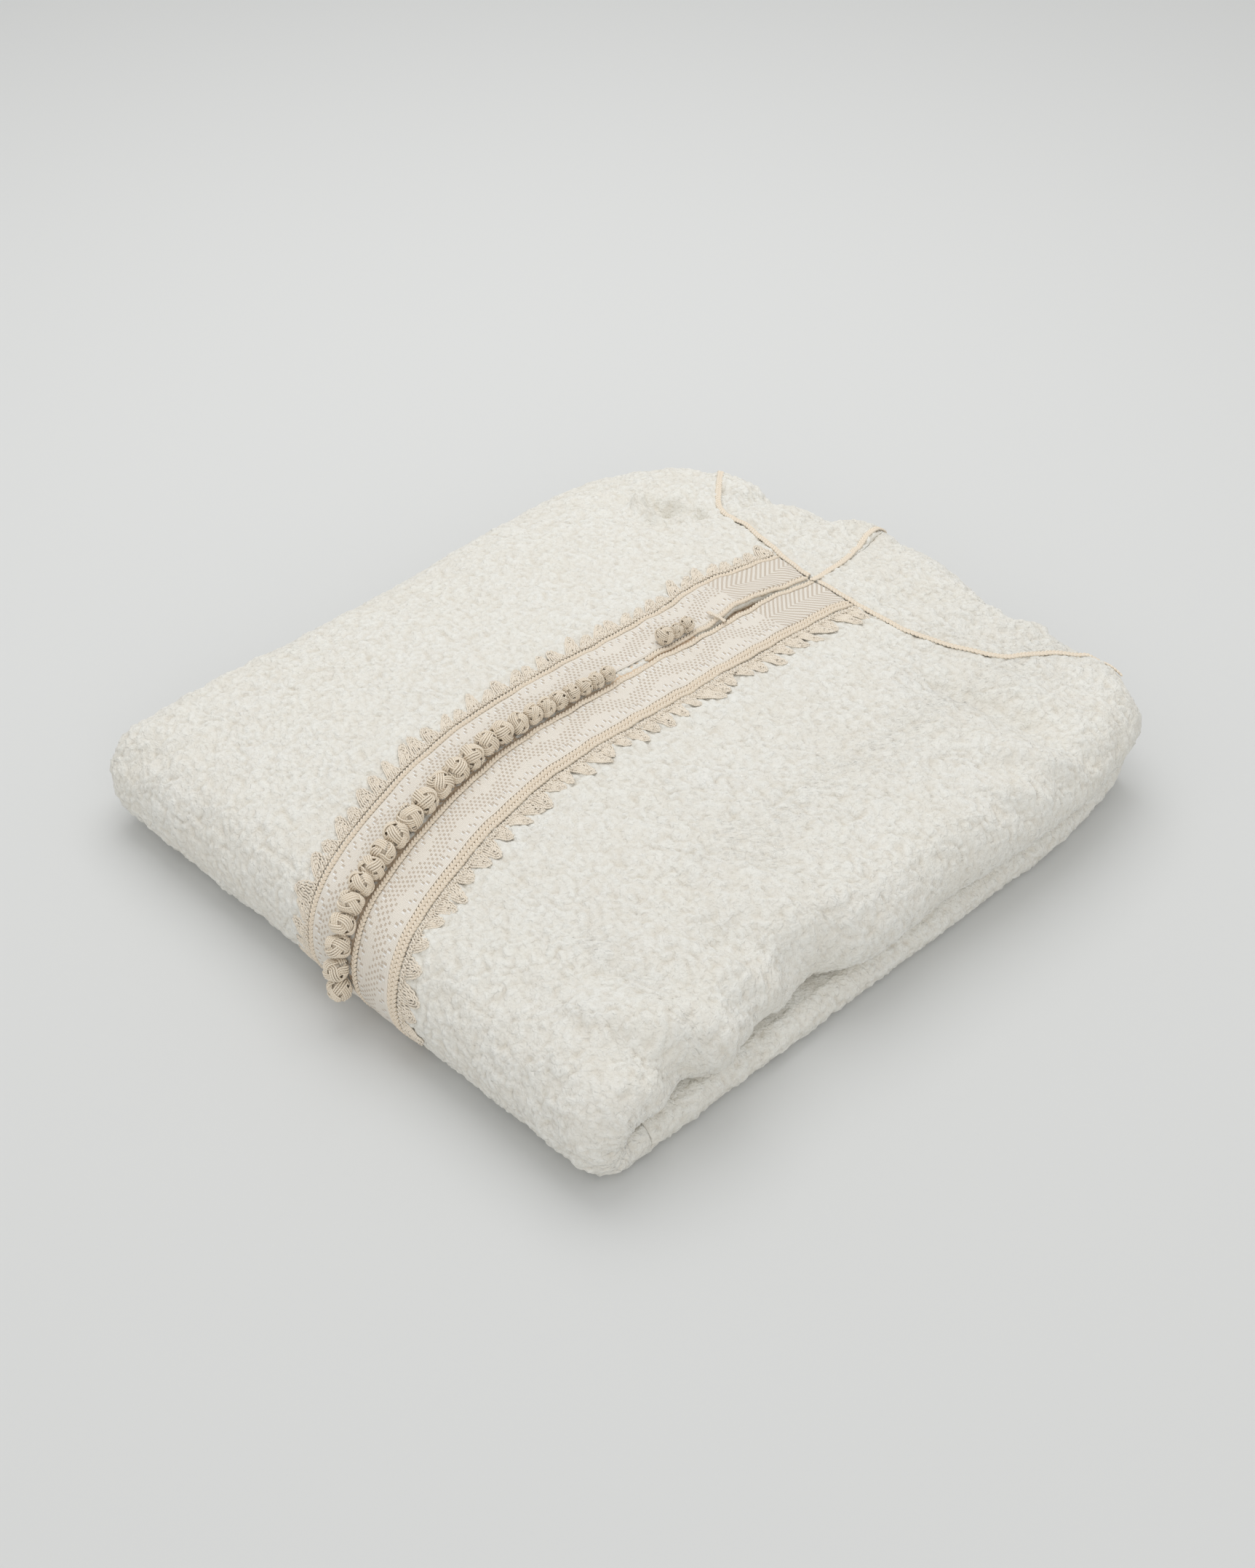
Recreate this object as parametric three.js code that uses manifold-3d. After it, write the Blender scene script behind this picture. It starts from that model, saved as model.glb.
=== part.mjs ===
// A hooded robe (djellaba) of thick curly cloth, folded flat for a shelf.
// The front lies on top with its slit, braids and knot buttons, turns round the front fold
// and carries on below as the skirt. The hood lies behind the neck seam.
// Units are millimetres. X runs across the folded robe, Y from the front fold to the hood, Z up.
//
// Every piece of cloth is laid out on one folded sheet with two coordinates measured along it:
//   across  0 on the middle of the robe, positive to the right, on round the side folds
//   along   equal to Y on the top face, below foldStart round the front fold and on underneath

import * as THREE from "three";
import { mergeVertices } from "three/addons/utils/BufferGeometryUtils.js";
import Module from "manifold-3d";

// ---- Driving dimensions -------------------------------------------------------------------

const cloth = 3; // wall of the curly cloth
const gap = 0.3; // between pieces that are sewn or lie together
const coreGap = 1.9; // between the cloth and the layers folded inside it
const middle = 16; // height of the plane where the upper and the lower stack meet
const foldStart = -150; // along, where the front fold begins
const foldRadius = 22; // mean outer radius of the front fold
const foldLength = Math.PI * foldRadius;
const skirtReach = { left: 137, right: 148.5 }; // half widths of the lower stack
const sideRadius = { left: 17, right: 14, skirt: 9, back: 24 };
const backHalfHeight = 20;
const underLap = 8; // how far the front halves reach under the fold before the skirt seam
const skirtEnd = 302; // length of the skirt sheet under the robe, from the fold
const hoodTuck = 38; // how far past the back ridge the hood goes on along the sheet

// Distances from the slit: cords along its two edges, then the braids.
const innerCord = { left: 0.45, right: 1.5 };
const braid = { left: 2.9, right: 3.95, outer: 21.6, thick: 1.2 };
const cord = { width: 2, thick: 1.7 };
const trim = { inner: 26.4, valley: 32, tip: 38.5, pitch: 8.6, thick: 1.4 };
const neckCord = 1.2; // radius
const plackets = { bottom: -203, length: 300, leftCordStart: 5, neckClear: 2.6 };
const seamCords = { cross: 5, left: -112, right: 123, top: 172 }; // crossing, and where they end
const threadBar = { along: 46, from: -7, to: 3.2, radius: 0.7 }; // across from the slit line
const centring = { x: -2.29, y: 3.475 }; // brings the middle of the whole box to the origin

// ---- Tables of the folded form ----------------------------------------------------------------

// Height of the top face over the floor, by distance along.
const topHeight = [
  { along: -150, left: 42, centre: 45, right: 44 },
  { along: -110, left: 47, centre: 55, right: 50 },
  { along: -60, left: 48, centre: 61, right: 51 },
  { along: 0, left: 49, centre: 63, right: 51 },
  { along: 60, left: 51, centre: 63, right: 50 },
  { along: 110, left: 50, centre: 61, right: 48 },
  { along: 150, left: 46, centre: 56, right: 45 },
];
const crownWidth = 135; // half width over which the top face falls to its side heights
const crownPower = 2.2;
const sideStation = 140; // distance across at which the stack is measured for its side folds
const widestFace = 150; // the height tables hold up to this distance across

// Half width of the upper stack. The right side fold is loose and wavy.
const rightReach = [
  { along: -172, reach: 150 },
  { along: -150, reach: 151 },
  { along: -138, reach: 151 },
  { along: -122, reach: 147 },
  { along: -108, reach: 153 },
  { along: -97, reach: 150 },
  { along: -82, reach: 146.5 },
  { along: -72, reach: 147.5 },
  { along: -50, reach: 143.5 },
  { along: -36, reach: 150 },
  { along: -20, reach: 153 },
  { along: 15, reach: 151 },
  { along: 60, reach: 153.5 },
  { along: 100, reach: 153 },
  { along: 130, reach: 149 },
  { along: 172, reach: 146 },
];
const leftReach = [
  { along: -172, reach: 148 },
  { along: -150, reach: 147 },
  { along: -115, reach: 144 },
  { along: -30, reach: 143.5 },
  { along: 46, reach: 148 },
  { along: 113, reach: 149 },
  { along: 172, reach: 146 },
];
// Y of the ridge at the back, by distance across.
const backReach = [
  { across: -150, reach: 157 },
  { across: -95, reach: 158 },
  { across: -47, reach: 156 },
  { across: -25, reach: 167 },
  { across: -10, reach: 171 },
  { across: 28, reach: 168 },
  { across: 62, reach: 158 },
  { across: 90, reach: 162 },
  { across: 150, reach: 163 },
];
// How far the outline steps in at the stack's corners, and over what length. The front left one
// is measured from a distance along, the back ones from a distance across or from the ridge.
const corners = {
  backLeft: { length: 60, cut: 20, from: -150 },
  backRight: { length: 45, cut: 8, from: 152 },
  frontLeft: { length: 40, cut: 5, from: -172 },
  lowRight: { length: 80, cut: 14 },
};

// Creases: soft ridges (positive rise) and troughs (negative) between two points of the sheet.
const creases = [
  { name: "dimple", a: [126, -84], b: [150, -66], spread: 11, rise: -6 },
  { name: "dimple ridge", a: [120, -96], b: [152, -78], spread: 7, rise: 2.5 },
  { name: "corner trough", a: [122, -116], b: [150, -98], spread: 7, rise: -2.5 },
  { name: "corner ridge", a: [118, -139], b: [156, -112], spread: 9, rise: 4 },
  { name: "corner notch", a: [135, -146], b: [158, -128], spread: 7, rise: -3 },
  { name: "shoulder trough", a: [84, 84], b: [128, 102], spread: 10, rise: -3.5 },
  { name: "shoulder ridge", a: [86, 60], b: [140, 82], spread: 9, rise: 2.5 },
  { name: "neck hollow", a: [60, 90], b: [88, 104], spread: 8, rise: -2 },
  { name: "pucker", a: [-92, 104], b: [-80, 92], spread: 7, rise: -4 },
  { name: "pucker roll", a: [-104, 116], b: [-84, 122], spread: 9, rise: 3 },
  { name: "hood roll", a: [-92, 146], b: [-72, 140], spread: 8, rise: 3.5 },
  { name: "hood hollow", a: [70, 124], b: [76, 140], spread: 9, rise: -2.5 },
  { name: "left corner dimple", a: [-122, -160], b: [-116, -156], spread: 9, rise: -2.5 },
  { name: "left ridge", a: [-120, 20], b: [-70, 48], spread: 14, rise: 1.5 },
];

// The slit down the front, and the neck seam that crosses its top.
const slitLine = [
  { along: -230, across: 26 },
  { along: -200, across: 25 },
  { along: -173, across: 21 },
  { along: -160, across: 17 },
  { along: -148, across: 12 },
  { along: -134, across: 8 },
  { along: -120, across: 5 },
  { along: -106, across: 2 },
  { along: -91, across: 0 },
  { along: -75, across: -2 },
  { along: -44, across: -2 },
  { along: -12, across: -1 },
  { along: 27, across: 0 },
  { along: 80, across: 1 },
  { along: 105, across: 4 },
];
const slitOpening = { from: 36, to: 88, width: 3 };
const neckSeam = [
  { across: -190, along: 142 },
  { across: -150, along: 148 },
  { across: -125, along: 155 },
  { across: -110, along: 155 },
  { across: -99, along: 149 },
  { across: -88, along: 138 },
  { across: -68, along: 118 },
  { across: -46, along: 113 },
  { across: -27, along: 107 },
  { across: -5, along: 101 },
  { across: 20, along: 99 },
  { across: 50, along: 100 },
  { across: 64, along: 104 },
  { across: 79, along: 112 },
  { across: 90, along: 121 },
  { across: 101, along: 142 },
  { across: 116, along: 158 },
  { across: 150, along: 164 },
  { across: 190, along: 166 },
];
const hoodSeam = [
  { along: 90, across: 4.4 },
  { along: 101, across: 4 },
  { along: 124, across: 1 },
  { along: 161, across: -12 },
  { along: 215, across: -18 },
];

// How far the cloth goes round its side folds, as a share of the half turn: nearly closed over
// the upper stack, less far where it turns round the front fold.
const sideTurns = [
  { along: -219, turn: 0.62 },
  { along: -185, turn: 0.6 },
  { along: -165, turn: 0.66 },
  { along: -150, turn: 0.8 },
  { along: -132, turn: 0.96 },
  { along: 100, turn: 0.96 },
  { along: 170, turn: 0.86 },
];
const skirtTurn = 0.93;

// Knot buttons down the slit: the distance along of each one, and their width and their
// distance from the slit line along the row. Each is as long as its neighbours allow.
const knotRow = [
  -182.5, -175.4, -168.6, -162.8, -157.4, -152.2, -146.4, -139, -130.8, -122.4, -113.8, -104.9,
  -96, -87.3, -78.8, -70.5, -62.4, -54.8, -48, -41.4, -34.9, -28.5, -22.2, -16,
];
const knotSizes = [
  { along: -182, width: 8.2, shift: 2.2 },
  { along: -140, width: 8.8, shift: 2.6 },
  { along: -80, width: 8.6, shift: 2.4 },
  { along: -54, width: 7.2, shift: 2 },
  { along: -16, width: 5.8, shift: 1.4 },
];
const looseKnots = [
  { along: 18.2, shift: 4.4, width: 6.8 },
  { along: 24.8, shift: 4.2, width: 5.4 },
  { along: 30.8, shift: 4.3, width: 5.8 },
];

// Rolled ends of the folded stacks at the back.
const stackEnds = [
  { y: 134.5, z: 25, radius: 5.4, half: 90 },
  { y: 136.5, z: 35.5, radius: 5.4, half: 90 },
  { y: 133, z: 45, radius: 4.4, half: 78 },
  { y: 141, z: 9.4, radius: 5.4, half: 118 },
];

const colours = {
  cloth: 0xebe9e1,
  layers: 0xe4e1d7,
  braid: 0xe9dccd,
  cord: 0xe0cdb6,
  trim: 0xe4d3bd,
  knot: 0xcbb89f,
};

// ---- The folded sheet -------------------------------------------------------------------------

// Smooth curve through the rows of a table.
function curve(rows, key, value, t) {
  const last = rows.length - 1;
  const at = Math.min(Math.max(t, rows[0][key]), rows[last][key]);
  let i = 0;
  while (i < last - 1 && at >= rows[i + 1][key]) i += 1;
  const slope = (k) => {
    const a = rows[Math.max(k - 1, 0)];
    const b = rows[Math.min(k + 1, last)];
    return (b[value] - a[value]) / (b[key] - a[key]);
  };
  const step = rows[i + 1][key] - rows[i][key];
  const u = (at - rows[i][key]) / step;
  const rise = rows[i + 1][value] - rows[i][value];
  const bend = (1 - u) * step * slope(i) - u * step * slope(i + 1);
  return rows[i][value] + u * u * (3 - 2 * u) * rise + u * (1 - u) * bend;
}

const clamp = (t, low, high) => Math.min(Math.max(t, low), high);
const mix = (a, b, t) => a + (b - a) * t;
const stepIn = (corner, distance) => corner.cut * clamp(1 - distance / corner.length, 0, 1) ** 2;
const halfEllipse = (a, b) => Math.PI * Math.sqrt((a * a + b * b) / 2);

function faceHeight(x, along) {
  const side = curve(topHeight, "along", x < 0 ? "left" : "right", along);
  const centre = curve(topHeight, "along", "centre", along);
  return mix(centre, side, Math.min(Math.abs(x) / crownWidth, 1.15) ** crownPower);
}

function backRidge(across) {
  return (
    curve(backReach, "across", "reach", across) -
    stepIn(corners.backLeft, Math.max(across - corners.backLeft.from, 0)) -
    stepIn(corners.backRight, Math.max(corners.backRight.from - across, 0))
  );
}

// Angle that the sheet has turned round the front fold, 0 on the top face and pi underneath.
const foldTurn = (along) => clamp((foldStart - along) / foldRadius, 0, Math.PI);
const underFold = (along) => Math.max(foldStart - along - foldLength, 0);
const spineHeightAt = (along) => middle + gap * Math.cos(foldTurn(along));

// Thickness of the stack under a point of the sheet. Round the front fold it passes from the
// upper stack's to the lower one's, and leaves the top face without a kink.
function stackAt(across, along) {
  const backStart = backRidge(across) - sideRadius.back;
  const x = clamp(across, -widestFace, widestFace);
  const upper = faceHeight(x, clamp(along, foldStart, backStart)) - middle - gap;
  const lower = middle - gap;
  const turned = foldTurn(along);
  if (turned === 0) return upper;
  const slope = faceHeight(x, foldStart + 1) - faceHeight(x, foldStart);
  const leastPower = 1.6; // keeps the fold above the floor
  const power = Math.max((Math.PI * slope * upper) / (upper - lower), leastPower);
  return mix(upper, lower, 1 - (1 - turned / Math.PI) ** power);
}

// The side fold beside a point: where it starts, its radius and its length along the sheet.
function sideFold(right, along, stack) {
  const below = (1 - Math.cos(foldTurn(along))) / 2;
  const ridge = backRidge(right ? sideStation : -sideStation);
  const station = clamp(along, foldStart, ridge);
  const upperReach = right
    ? curve(rightReach, "along", "reach", station) - stepIn(corners.backRight, ridge - station)
    : curve(leftReach, "along", "reach", station) -
      stepIn(corners.backLeft, ridge - station) -
      stepIn(corners.frontLeft, station - corners.frontLeft.from);
  const lowerReach = right
    ? skirtReach.right - stepIn(corners.lowRight, ridge - foldStart - underFold(along))
    : skirtReach.left;
  const reach = mix(upperReach, lowerReach, below);
  const radius = mix(right ? sideRadius.right : sideRadius.left, sideRadius.skirt, below);
  return { start: reach - radius, radius, length: halfEllipse(radius, stack / 2) };
}

// Distance across at a share of the half turn of a side fold.
function acrossAtTurn(side, along, turn) {
  const fold = sideFold(side > 0, along, stackAt(side * sideStation, along));
  return fold.start + turn * fold.length;
}

// Point of the outer face of the smooth sheet, before its creases.
function smoothSheet(across, along) {
  const turned = foldTurn(along);
  const backStart = backRidge(across) - sideRadius.back;
  const backLength = halfEllipse(sideRadius.back, backHalfHeight);
  const backTurn = clamp(((along - backStart) / backLength) * Math.PI, 0, Math.PI);

  const stack = stackAt(across, along);
  const fold = sideFold(across > 0, along, stack);
  const out = Math.abs(across) - fold.start;
  const sideTurn = clamp((out / fold.length) * Math.PI, 0, Math.PI);
  const past = Math.max(out - fold.length, 0);

  const x = out < 0 ? across : Math.sign(across) * (fold.start + fold.radius * Math.sin(sideTurn) - past);
  const thick = (stack * (1 + Math.cos(sideTurn)) * (1 + Math.cos(backTurn))) / 4;
  const spineY =
    along < foldStart
      ? foldStart + underFold(along)
      : Math.min(along, backStart) + sideRadius.back * Math.sin(backTurn);
  return new THREE.Vector3(
    x,
    spineY - thick * Math.sin(turned),
    spineHeightAt(along) + thick * Math.cos(turned),
  );
}

function sheetNormal(across, along) {
  const step = 0.5;
  const du = smoothSheet(across + step, along).sub(smoothSheet(across - step, along));
  const dv = smoothSheet(across, along + step).sub(smoothSheet(across, along - step));
  return du.cross(dv).normalize();
}

// Rise of the creases at a point of the sheet.
function relief(across, along) {
  let rise = 0;
  for (const { a, b, spread, rise: depth } of creases) {
    const dx = b[0] - a[0];
    const dy = b[1] - a[1];
    const t = clamp(((across - a[0]) * dx + (along - a[1]) * dy) / (dx * dx + dy * dy), 0, 1);
    const away = Math.hypot(across - a[0] - t * dx, along - a[1] - t * dy) / spread;
    rise += depth * Math.exp(-away * away);
  }
  return rise;
}

// Point at a height over the outer face of the creased cloth.
function onSheet(across, along, height = 0) {
  const lift = relief(across, along) + height;
  return smoothSheet(across, along).addScaledVector(sheetNormal(across, along), lift);
}

const slitAt = (along) => curve(slitLine, "along", "across", along);
const neckAt = (across) => curve(neckSeam, "across", "along", across);
const hoodSeamAt = (along) => curve(hoodSeam, "along", "across", along);

// ---- Solids -----------------------------------------------------------------------------------

function solid(points, triangles) {
  const geometry = new THREE.BufferGeometry().setFromPoints(points);
  geometry.setIndex(triangles.flat());
  geometry.computeVertexNormals();
  return geometry;
}

// Closed wall between two faces that are sampled over the same rows and columns.
function wall(columns, rows, outer, inner) {
  const across = columns.length;
  const points = [];
  for (const face of [outer, inner]) {
    for (const v of rows) for (const u of columns) points.push(face(u, v));
  }
  const at = (i, j) => j * across + i;
  const under = across * rows.length;
  const triangles = [];
  for (let j = 0; j < rows.length - 1; j += 1) {
    for (let i = 0; i < across - 1; i += 1) {
      const [a, b, c, d] = [at(i, j), at(i + 1, j), at(i + 1, j + 1), at(i, j + 1)];
      triangles.push([a, b, c], [a, c, d]);
      triangles.push([a + under, c + under, b + under], [a + under, d + under, c + under]);
    }
  }
  const rim = [];
  for (let i = 0; i < across - 1; i += 1) rim.push(at(i, 0));
  for (let j = 0; j < rows.length - 1; j += 1) rim.push(at(across - 1, j));
  for (let i = across - 1; i > 0; i -= 1) rim.push(at(i, rows.length - 1));
  for (let j = rows.length - 1; j > 0; j -= 1) rim.push(at(0, j));
  rim.forEach((s, k) => {
    const t = rim[(k + 1) % rim.length];
    triangles.push([t, s, s + under], [t, s + under, t + under]);
  });
  return solid(points, triangles);
}

// Closed body through rings of equally many points, with flat caps.
function loft(rings, capAxes) {
  const count = rings[0].length;
  const triangles = [];
  for (let r = 0; r < rings.length - 1; r += 1) {
    for (let k = 0; k < count; k += 1) {
      const [a, b] = [r * count + k, r * count + ((k + 1) % count)];
      triangles.push([a, b, b + count], [a, b + count, a + count]);
    }
  }
  for (const end of [0, rings.length - 1]) {
    const outline = rings[end].map((point) => {
      const [first, second] = capAxes(end);
      return new THREE.Vector2(point.dot(first), point.dot(second));
    });
    const facing = end === 0 ? -1 : 1;
    for (const [a, b, c] of THREE.ShapeUtils.triangulateShape(outline, [])) {
      const [p, q, s] = [a, b, c].map((k) => k + end * count);
      triangles.push(facing * windingOf(outline, [a, b, c]) > 0 ? [p, q, s] : [p, s, q]);
    }
  }
  return solid(rings.flat(), triangles);
}

// +1 where a cap's triangle turns the way its ring runs.
function windingOf(outline, [a, b, c]) {
  const turn = THREE.ShapeUtils.area([outline[a], outline[b], outline[c]]);
  return Math.sign(turn) * Math.sign(THREE.ShapeUtils.area(outline));
}

const spaced = (from, to, steps) =>
  Array.from({ length: steps + 1 }, (_, k) => mix(from, to, k / steps));

const meshes = new THREE.Group();

function add(name, geometry, colour, roughness) {
  geometry.translate(centring.x, centring.y, 0);
  const material = new THREE.MeshStandardMaterial({ color: colour, roughness, metalness: 0 });
  const mesh = new THREE.Mesh(geometry, material);
  mesh.name = name;
  meshes.add(mesh);
}

// ---- Cloth pieces -----------------------------------------------------------------------------

// Columns as shares of the way from the slit to the side edge: denser where the neck seam bends
// and round the side fold. The hood starts on the same columns, so that its edge follows the seam.
const frontColumns = {
  right: [0, 0.1, 0.2, 0.28, 0.36, 0.43, 0.49, 0.55, 0.62, 0.71, 0.78, 0.84, 0.9, 0.95, 1],
  left: [0, 0.13, 0.25, 0.35, 0.42, 0.47, 0.52, 0.58, 0.66, 0.74, 0.8, 0.86, 0.92, 0.96, 1],
};
const hoodColumns = 9; // number of those columns that the hood spans
const frontRows = [...spaced(0, 0.23, 9), ...spaced(0.28, 0.5, 5), ...spaced(0.56, 1, 7)];

// Opening of the slit near the neck, as a distance from the slit line to the left edge.
function slitGap(along) {
  const { from, to, width } = slitOpening;
  const t = clamp((along - from) / (to - from), 0, 1);
  return gap / 2 + width * Math.sin(Math.PI * t) ** 2;
}

// Place on one half of the front: u runs from the slit to the side, v from the skirt seam
// to the neck seam. The two edges depend on each other, so a few rounds settle them.
function frontPlace(side, u, v) {
  const start = foldStart - foldLength - underLap;
  let along = mix(start, 100, v);
  let across = 0;
  for (let round = 0; round < 8; round += 1) {
    const edge = acrossAtTurn(side, along, curve(sideTurns, "along", "turn", along));
    const slit = slitAt(along) + (side > 0 ? gap / 2 : -slitGap(along));
    across = mix(slit, side * edge, u);
    along = mix(start, neckAt(across), v);
  }
  return [across, along];
}

function addFront(name, side) {
  const columns = side > 0 ? frontColumns.right : [...frontColumns.left].reverse();
  const face = (height) => (u, v) => onSheet(...frontPlace(side, u, v), height);
  add(name, wall(columns, frontRows, face(0), face(-cloth)), colours.cloth, 0.95);
}

// Places across the whole sheet: -1 to 1 from edge to edge, with the flat part within half of it.
function wholeWidth(u, along, turn) {
  const side = Math.sign(u);
  if (Math.abs(u) <= 0.5) return side * 2 * Math.abs(u) * acrossAtTurn(side, along, 0);
  return side * acrossAtTurn(side, along, (2 * Math.abs(u) - 1) * turn);
}

const wholeColumns = [
  -1, -0.9, -0.8, -0.7, -0.6, -0.5, -0.4, -0.2, 0, 0.2, 0.4, 0.5, 0.6, 0.7, 0.8, 0.9, 1,
];

function addSkirt() {
  const start = foldStart - foldLength - underLap - gap;
  const face = (height) => (u, v) => {
    const along = mix(foldStart - foldLength - skirtEnd, start, v);
    return onSheet(wholeWidth(u, along, skirtTurn), along, height);
  };
  add("skirt", wall(wholeColumns, spaced(0, 1, 5), face(0), face(-cloth)), colours.cloth, 0.95);
}

// One half of the hood, from the neck seam over the back ridge and down behind. It starts on
// the front's own columns and spreads from them along the hood's centre seam.
function addHood(name, side) {
  const spread = (side > 0 ? frontColumns.right : frontColumns.left).slice(0, hoodColumns);
  const widest = spread[hoodColumns - 1];
  const topOfSlit = slitAt(slitLine.at(-1).along);
  const place = (u, v) => {
    const [start, neck] = frontPlace(side, u, 1);
    const low = neck + 2 * gap;
    let across = start;
    let along = low;
    for (let round = 0; round < 6; round += 1) {
      along = mix(low, backRidge(across) + hoodTuck, v);
      const lean = hoodSeamAt(along) - hoodSeamAt(neckAt(topOfSlit));
      across = start + lean * (1 - u / widest) * v ** 0.5;
    }
    return [across, along];
  };
  const columns = side > 0 ? spread : [...spread].reverse();
  const face = (height) => (u, v) => onSheet(...place(u, v), height);
  add(name, wall(columns, spaced(0, 1, 11), face(0), face(-cloth)), colours.cloth, 0.95);
}

// The layers folded inside: one thick slab that follows the sheet round the front fold,
// with the rolled ends of the upper and lower stacks at the back.
async function addFoldedLayers() {
  const foldEnd = foldStart - foldLength;
  const stations = [
    ...spaced(foldEnd - 290, foldEnd - 12, 4),
    ...spaced(foldEnd, foldStart, 9),
    ...spaced(foldStart + 12, 138, 21),
  ];
  const axes = () => [new THREE.Vector3(1, 0, 0), new THREE.Vector3(0, 0, 1)];
  const wasm = await Module();
  wasm.setup();
  let body = manifoldOf(wasm, loft(stations.map(layersRing), axes));
  for (const { y, z, radius, half } of stackEnds) {
    const roll = new THREE.CapsuleGeometry(radius, 2 * half, 3, 10);
    roll.rotateZ(Math.PI / 2).translate(0, y, z);
    body = body.add(manifoldOf(wasm, roll));
  }
  add("folded_layers", geometryOf(body), colours.layers, 0.95);
}

// Section of the folded layers at one station: the inside of the sheet from edge to edge, and
// back along the plane between the stacks, raised at the sides to clear the sheet's edges.
function layersRing(along) {
  const inside = cloth + coreGap;
  const inFold = Math.sin(foldTurn(along));
  const turn = mix(0.82, 0.5, inFold); // how far the layers follow the cloth round its sides
  const ring = wholeColumns.map((u) => {
    const across = wholeWidth(u, along, turn);
    return smoothSheet(across, along).addScaledVector(
      sheetNormal(across, along),
      troughNear(across, along) - inside,
    );
  });
  const spineY = along < foldStart ? foldStart + underFold(along) : along;
  const inner = (x, height) =>
    new THREE.Vector3(
      x,
      spineY - height * Math.sin(foldTurn(along)),
      spineHeightAt(along) + height * Math.cos(foldTurn(along)),
    );
  const low = mix(gap, 3 * gap, inFold);
  const right = acrossAtTurn(1, along, 0);
  const left = acrossAtTurn(-1, along, 0);
  const step = { near: 3, far: 8, height: inside + 2 * gap }; // over the edge of the sheet
  ring.push(inner(right - step.near, step.height), inner(right - step.far, low), inner(0, low));
  ring.push(inner(step.far - left, low), inner(step.near - left, step.height));
  return ring;
}

// The deepest trough close to a point, which the layers below must clear.
function troughNear(across, along) {
  const reach = 9;
  let deepest = 0;
  for (const dx of [-reach, 0, reach]) {
    for (const dy of [-reach, 0, reach]) {
      deepest = Math.min(deepest, relief(across + dx, along + dy));
    }
  }
  return deepest;
}

function manifoldOf(wasm, geometry) {
  const bare = new THREE.BufferGeometry();
  bare.setAttribute("position", geometry.getAttribute("position"));
  bare.setIndex(geometry.index);
  const merged = mergeVertices(bare, 1e-4);
  return new wasm.Manifold(
    new wasm.Mesh({
      numProp: 3,
      vertProperties: new Float32Array(merged.attributes.position.array),
      triVerts: new Uint32Array(merged.index.array),
    }),
  );
}

function geometryOf(manifold) {
  const mesh = manifold.getMesh();
  const geometry = new THREE.BufferGeometry();
  geometry.setAttribute("position", new THREE.BufferAttribute(mesh.vertProperties, 3));
  geometry.setIndex(new THREE.BufferAttribute(mesh.triVerts, 1));
  geometry.computeVertexNormals();
  return geometry;
}

// ---- Braids, cords and trims ------------------------------------------------------------------

// Flat strip beside the slit. The distances are from the slit line, and the strip ends
// below the neck seam.
function addStrip(name, side, { near, far, from, to, low, high, steps, colour, roughness, across = 1 }) {
  const place = (u, v) => {
    let along = mix(from, 90, v);
    let where = 0;
    for (let round = 0; round < 6; round += 1) {
      const away = mix(near, far(v), u);
      where = slitAt(along) + side * away - (side < 0 && slitGap(along) - gap / 2);
      along = mix(from, to ?? neckAt(where) - plackets.neckClear, v);
    }
    return [where, along];
  };
  const face = (height) => (u, v) => onSheet(...place(u, v), height);
  const columns = side > 0 ? spaced(0, 1, across) : spaced(1, 0, across);
  add(name, wall(columns, spaced(0, 1, steps), face(high), face(low)), colour, roughness);
}

function addPlacket() {
  const { bottom, length, leftCordStart } = plackets;
  const stripSteps = 46;
  const flatStrip = { from: bottom, low: gap, steps: stripSteps, roughness: 0.6 };
  for (const [name, side] of [["braid_left", -1], ["braid_right", 1]]) {
    addStrip(name, side, {
      ...flatStrip,
      near: side > 0 ? braid.right : braid.left,
      far: () => braid.outer,
      high: gap + braid.thick,
      colour: colours.braid,
    });
  }
  const cords = [
    { name: "cord_right_inner", side: 1, near: innerCord.right, from: bottom },
    { name: "cord_right_outer_a", side: 1, near: braid.outer + gap, from: bottom },
    { name: "cord_right_outer_b", side: 1, near: braid.outer + 2 * gap + cord.width, from: bottom },
    { name: "cord_left_inner", side: -1, near: innerCord.left, from: leftCordStart },
    { name: "cord_left_outer", side: -1, near: braid.outer + gap, from: bottom },
  ];
  for (const { name, side, near, from } of cords) {
    addStrip(name, side, {
      ...flatStrip,
      from,
      near,
      far: () => near + cord.width,
      high: gap + cord.thick,
      steps: Math.round((stripSteps * (bottom + length - from)) / length),
      colour: colours.cord,
      roughness: 0.8,
    });
  }
  const scallops = Math.round(length / trim.pitch);
  const perScallop = 3;
  for (const [name, side] of [["trim_left", -1], ["trim_right", 1]]) {
    const near = side > 0 ? trim.inner : trim.inner - cord.width - gap;
    addStrip(name, side, {
      ...flatStrip,
      near,
      far: (v) => {
        const phase = (v * scallops) % 1;
        const lobe = 1 - Math.abs(2 * phase - 1);
        return mix(trim.valley, trim.tip, Math.sqrt(lobe)) - trim.inner + near;
      },
      high: gap + trim.thick,
      steps: scallops * perScallop,
      colour: colours.trim,
      roughness: 0.85,
    });
  }
}

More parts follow.
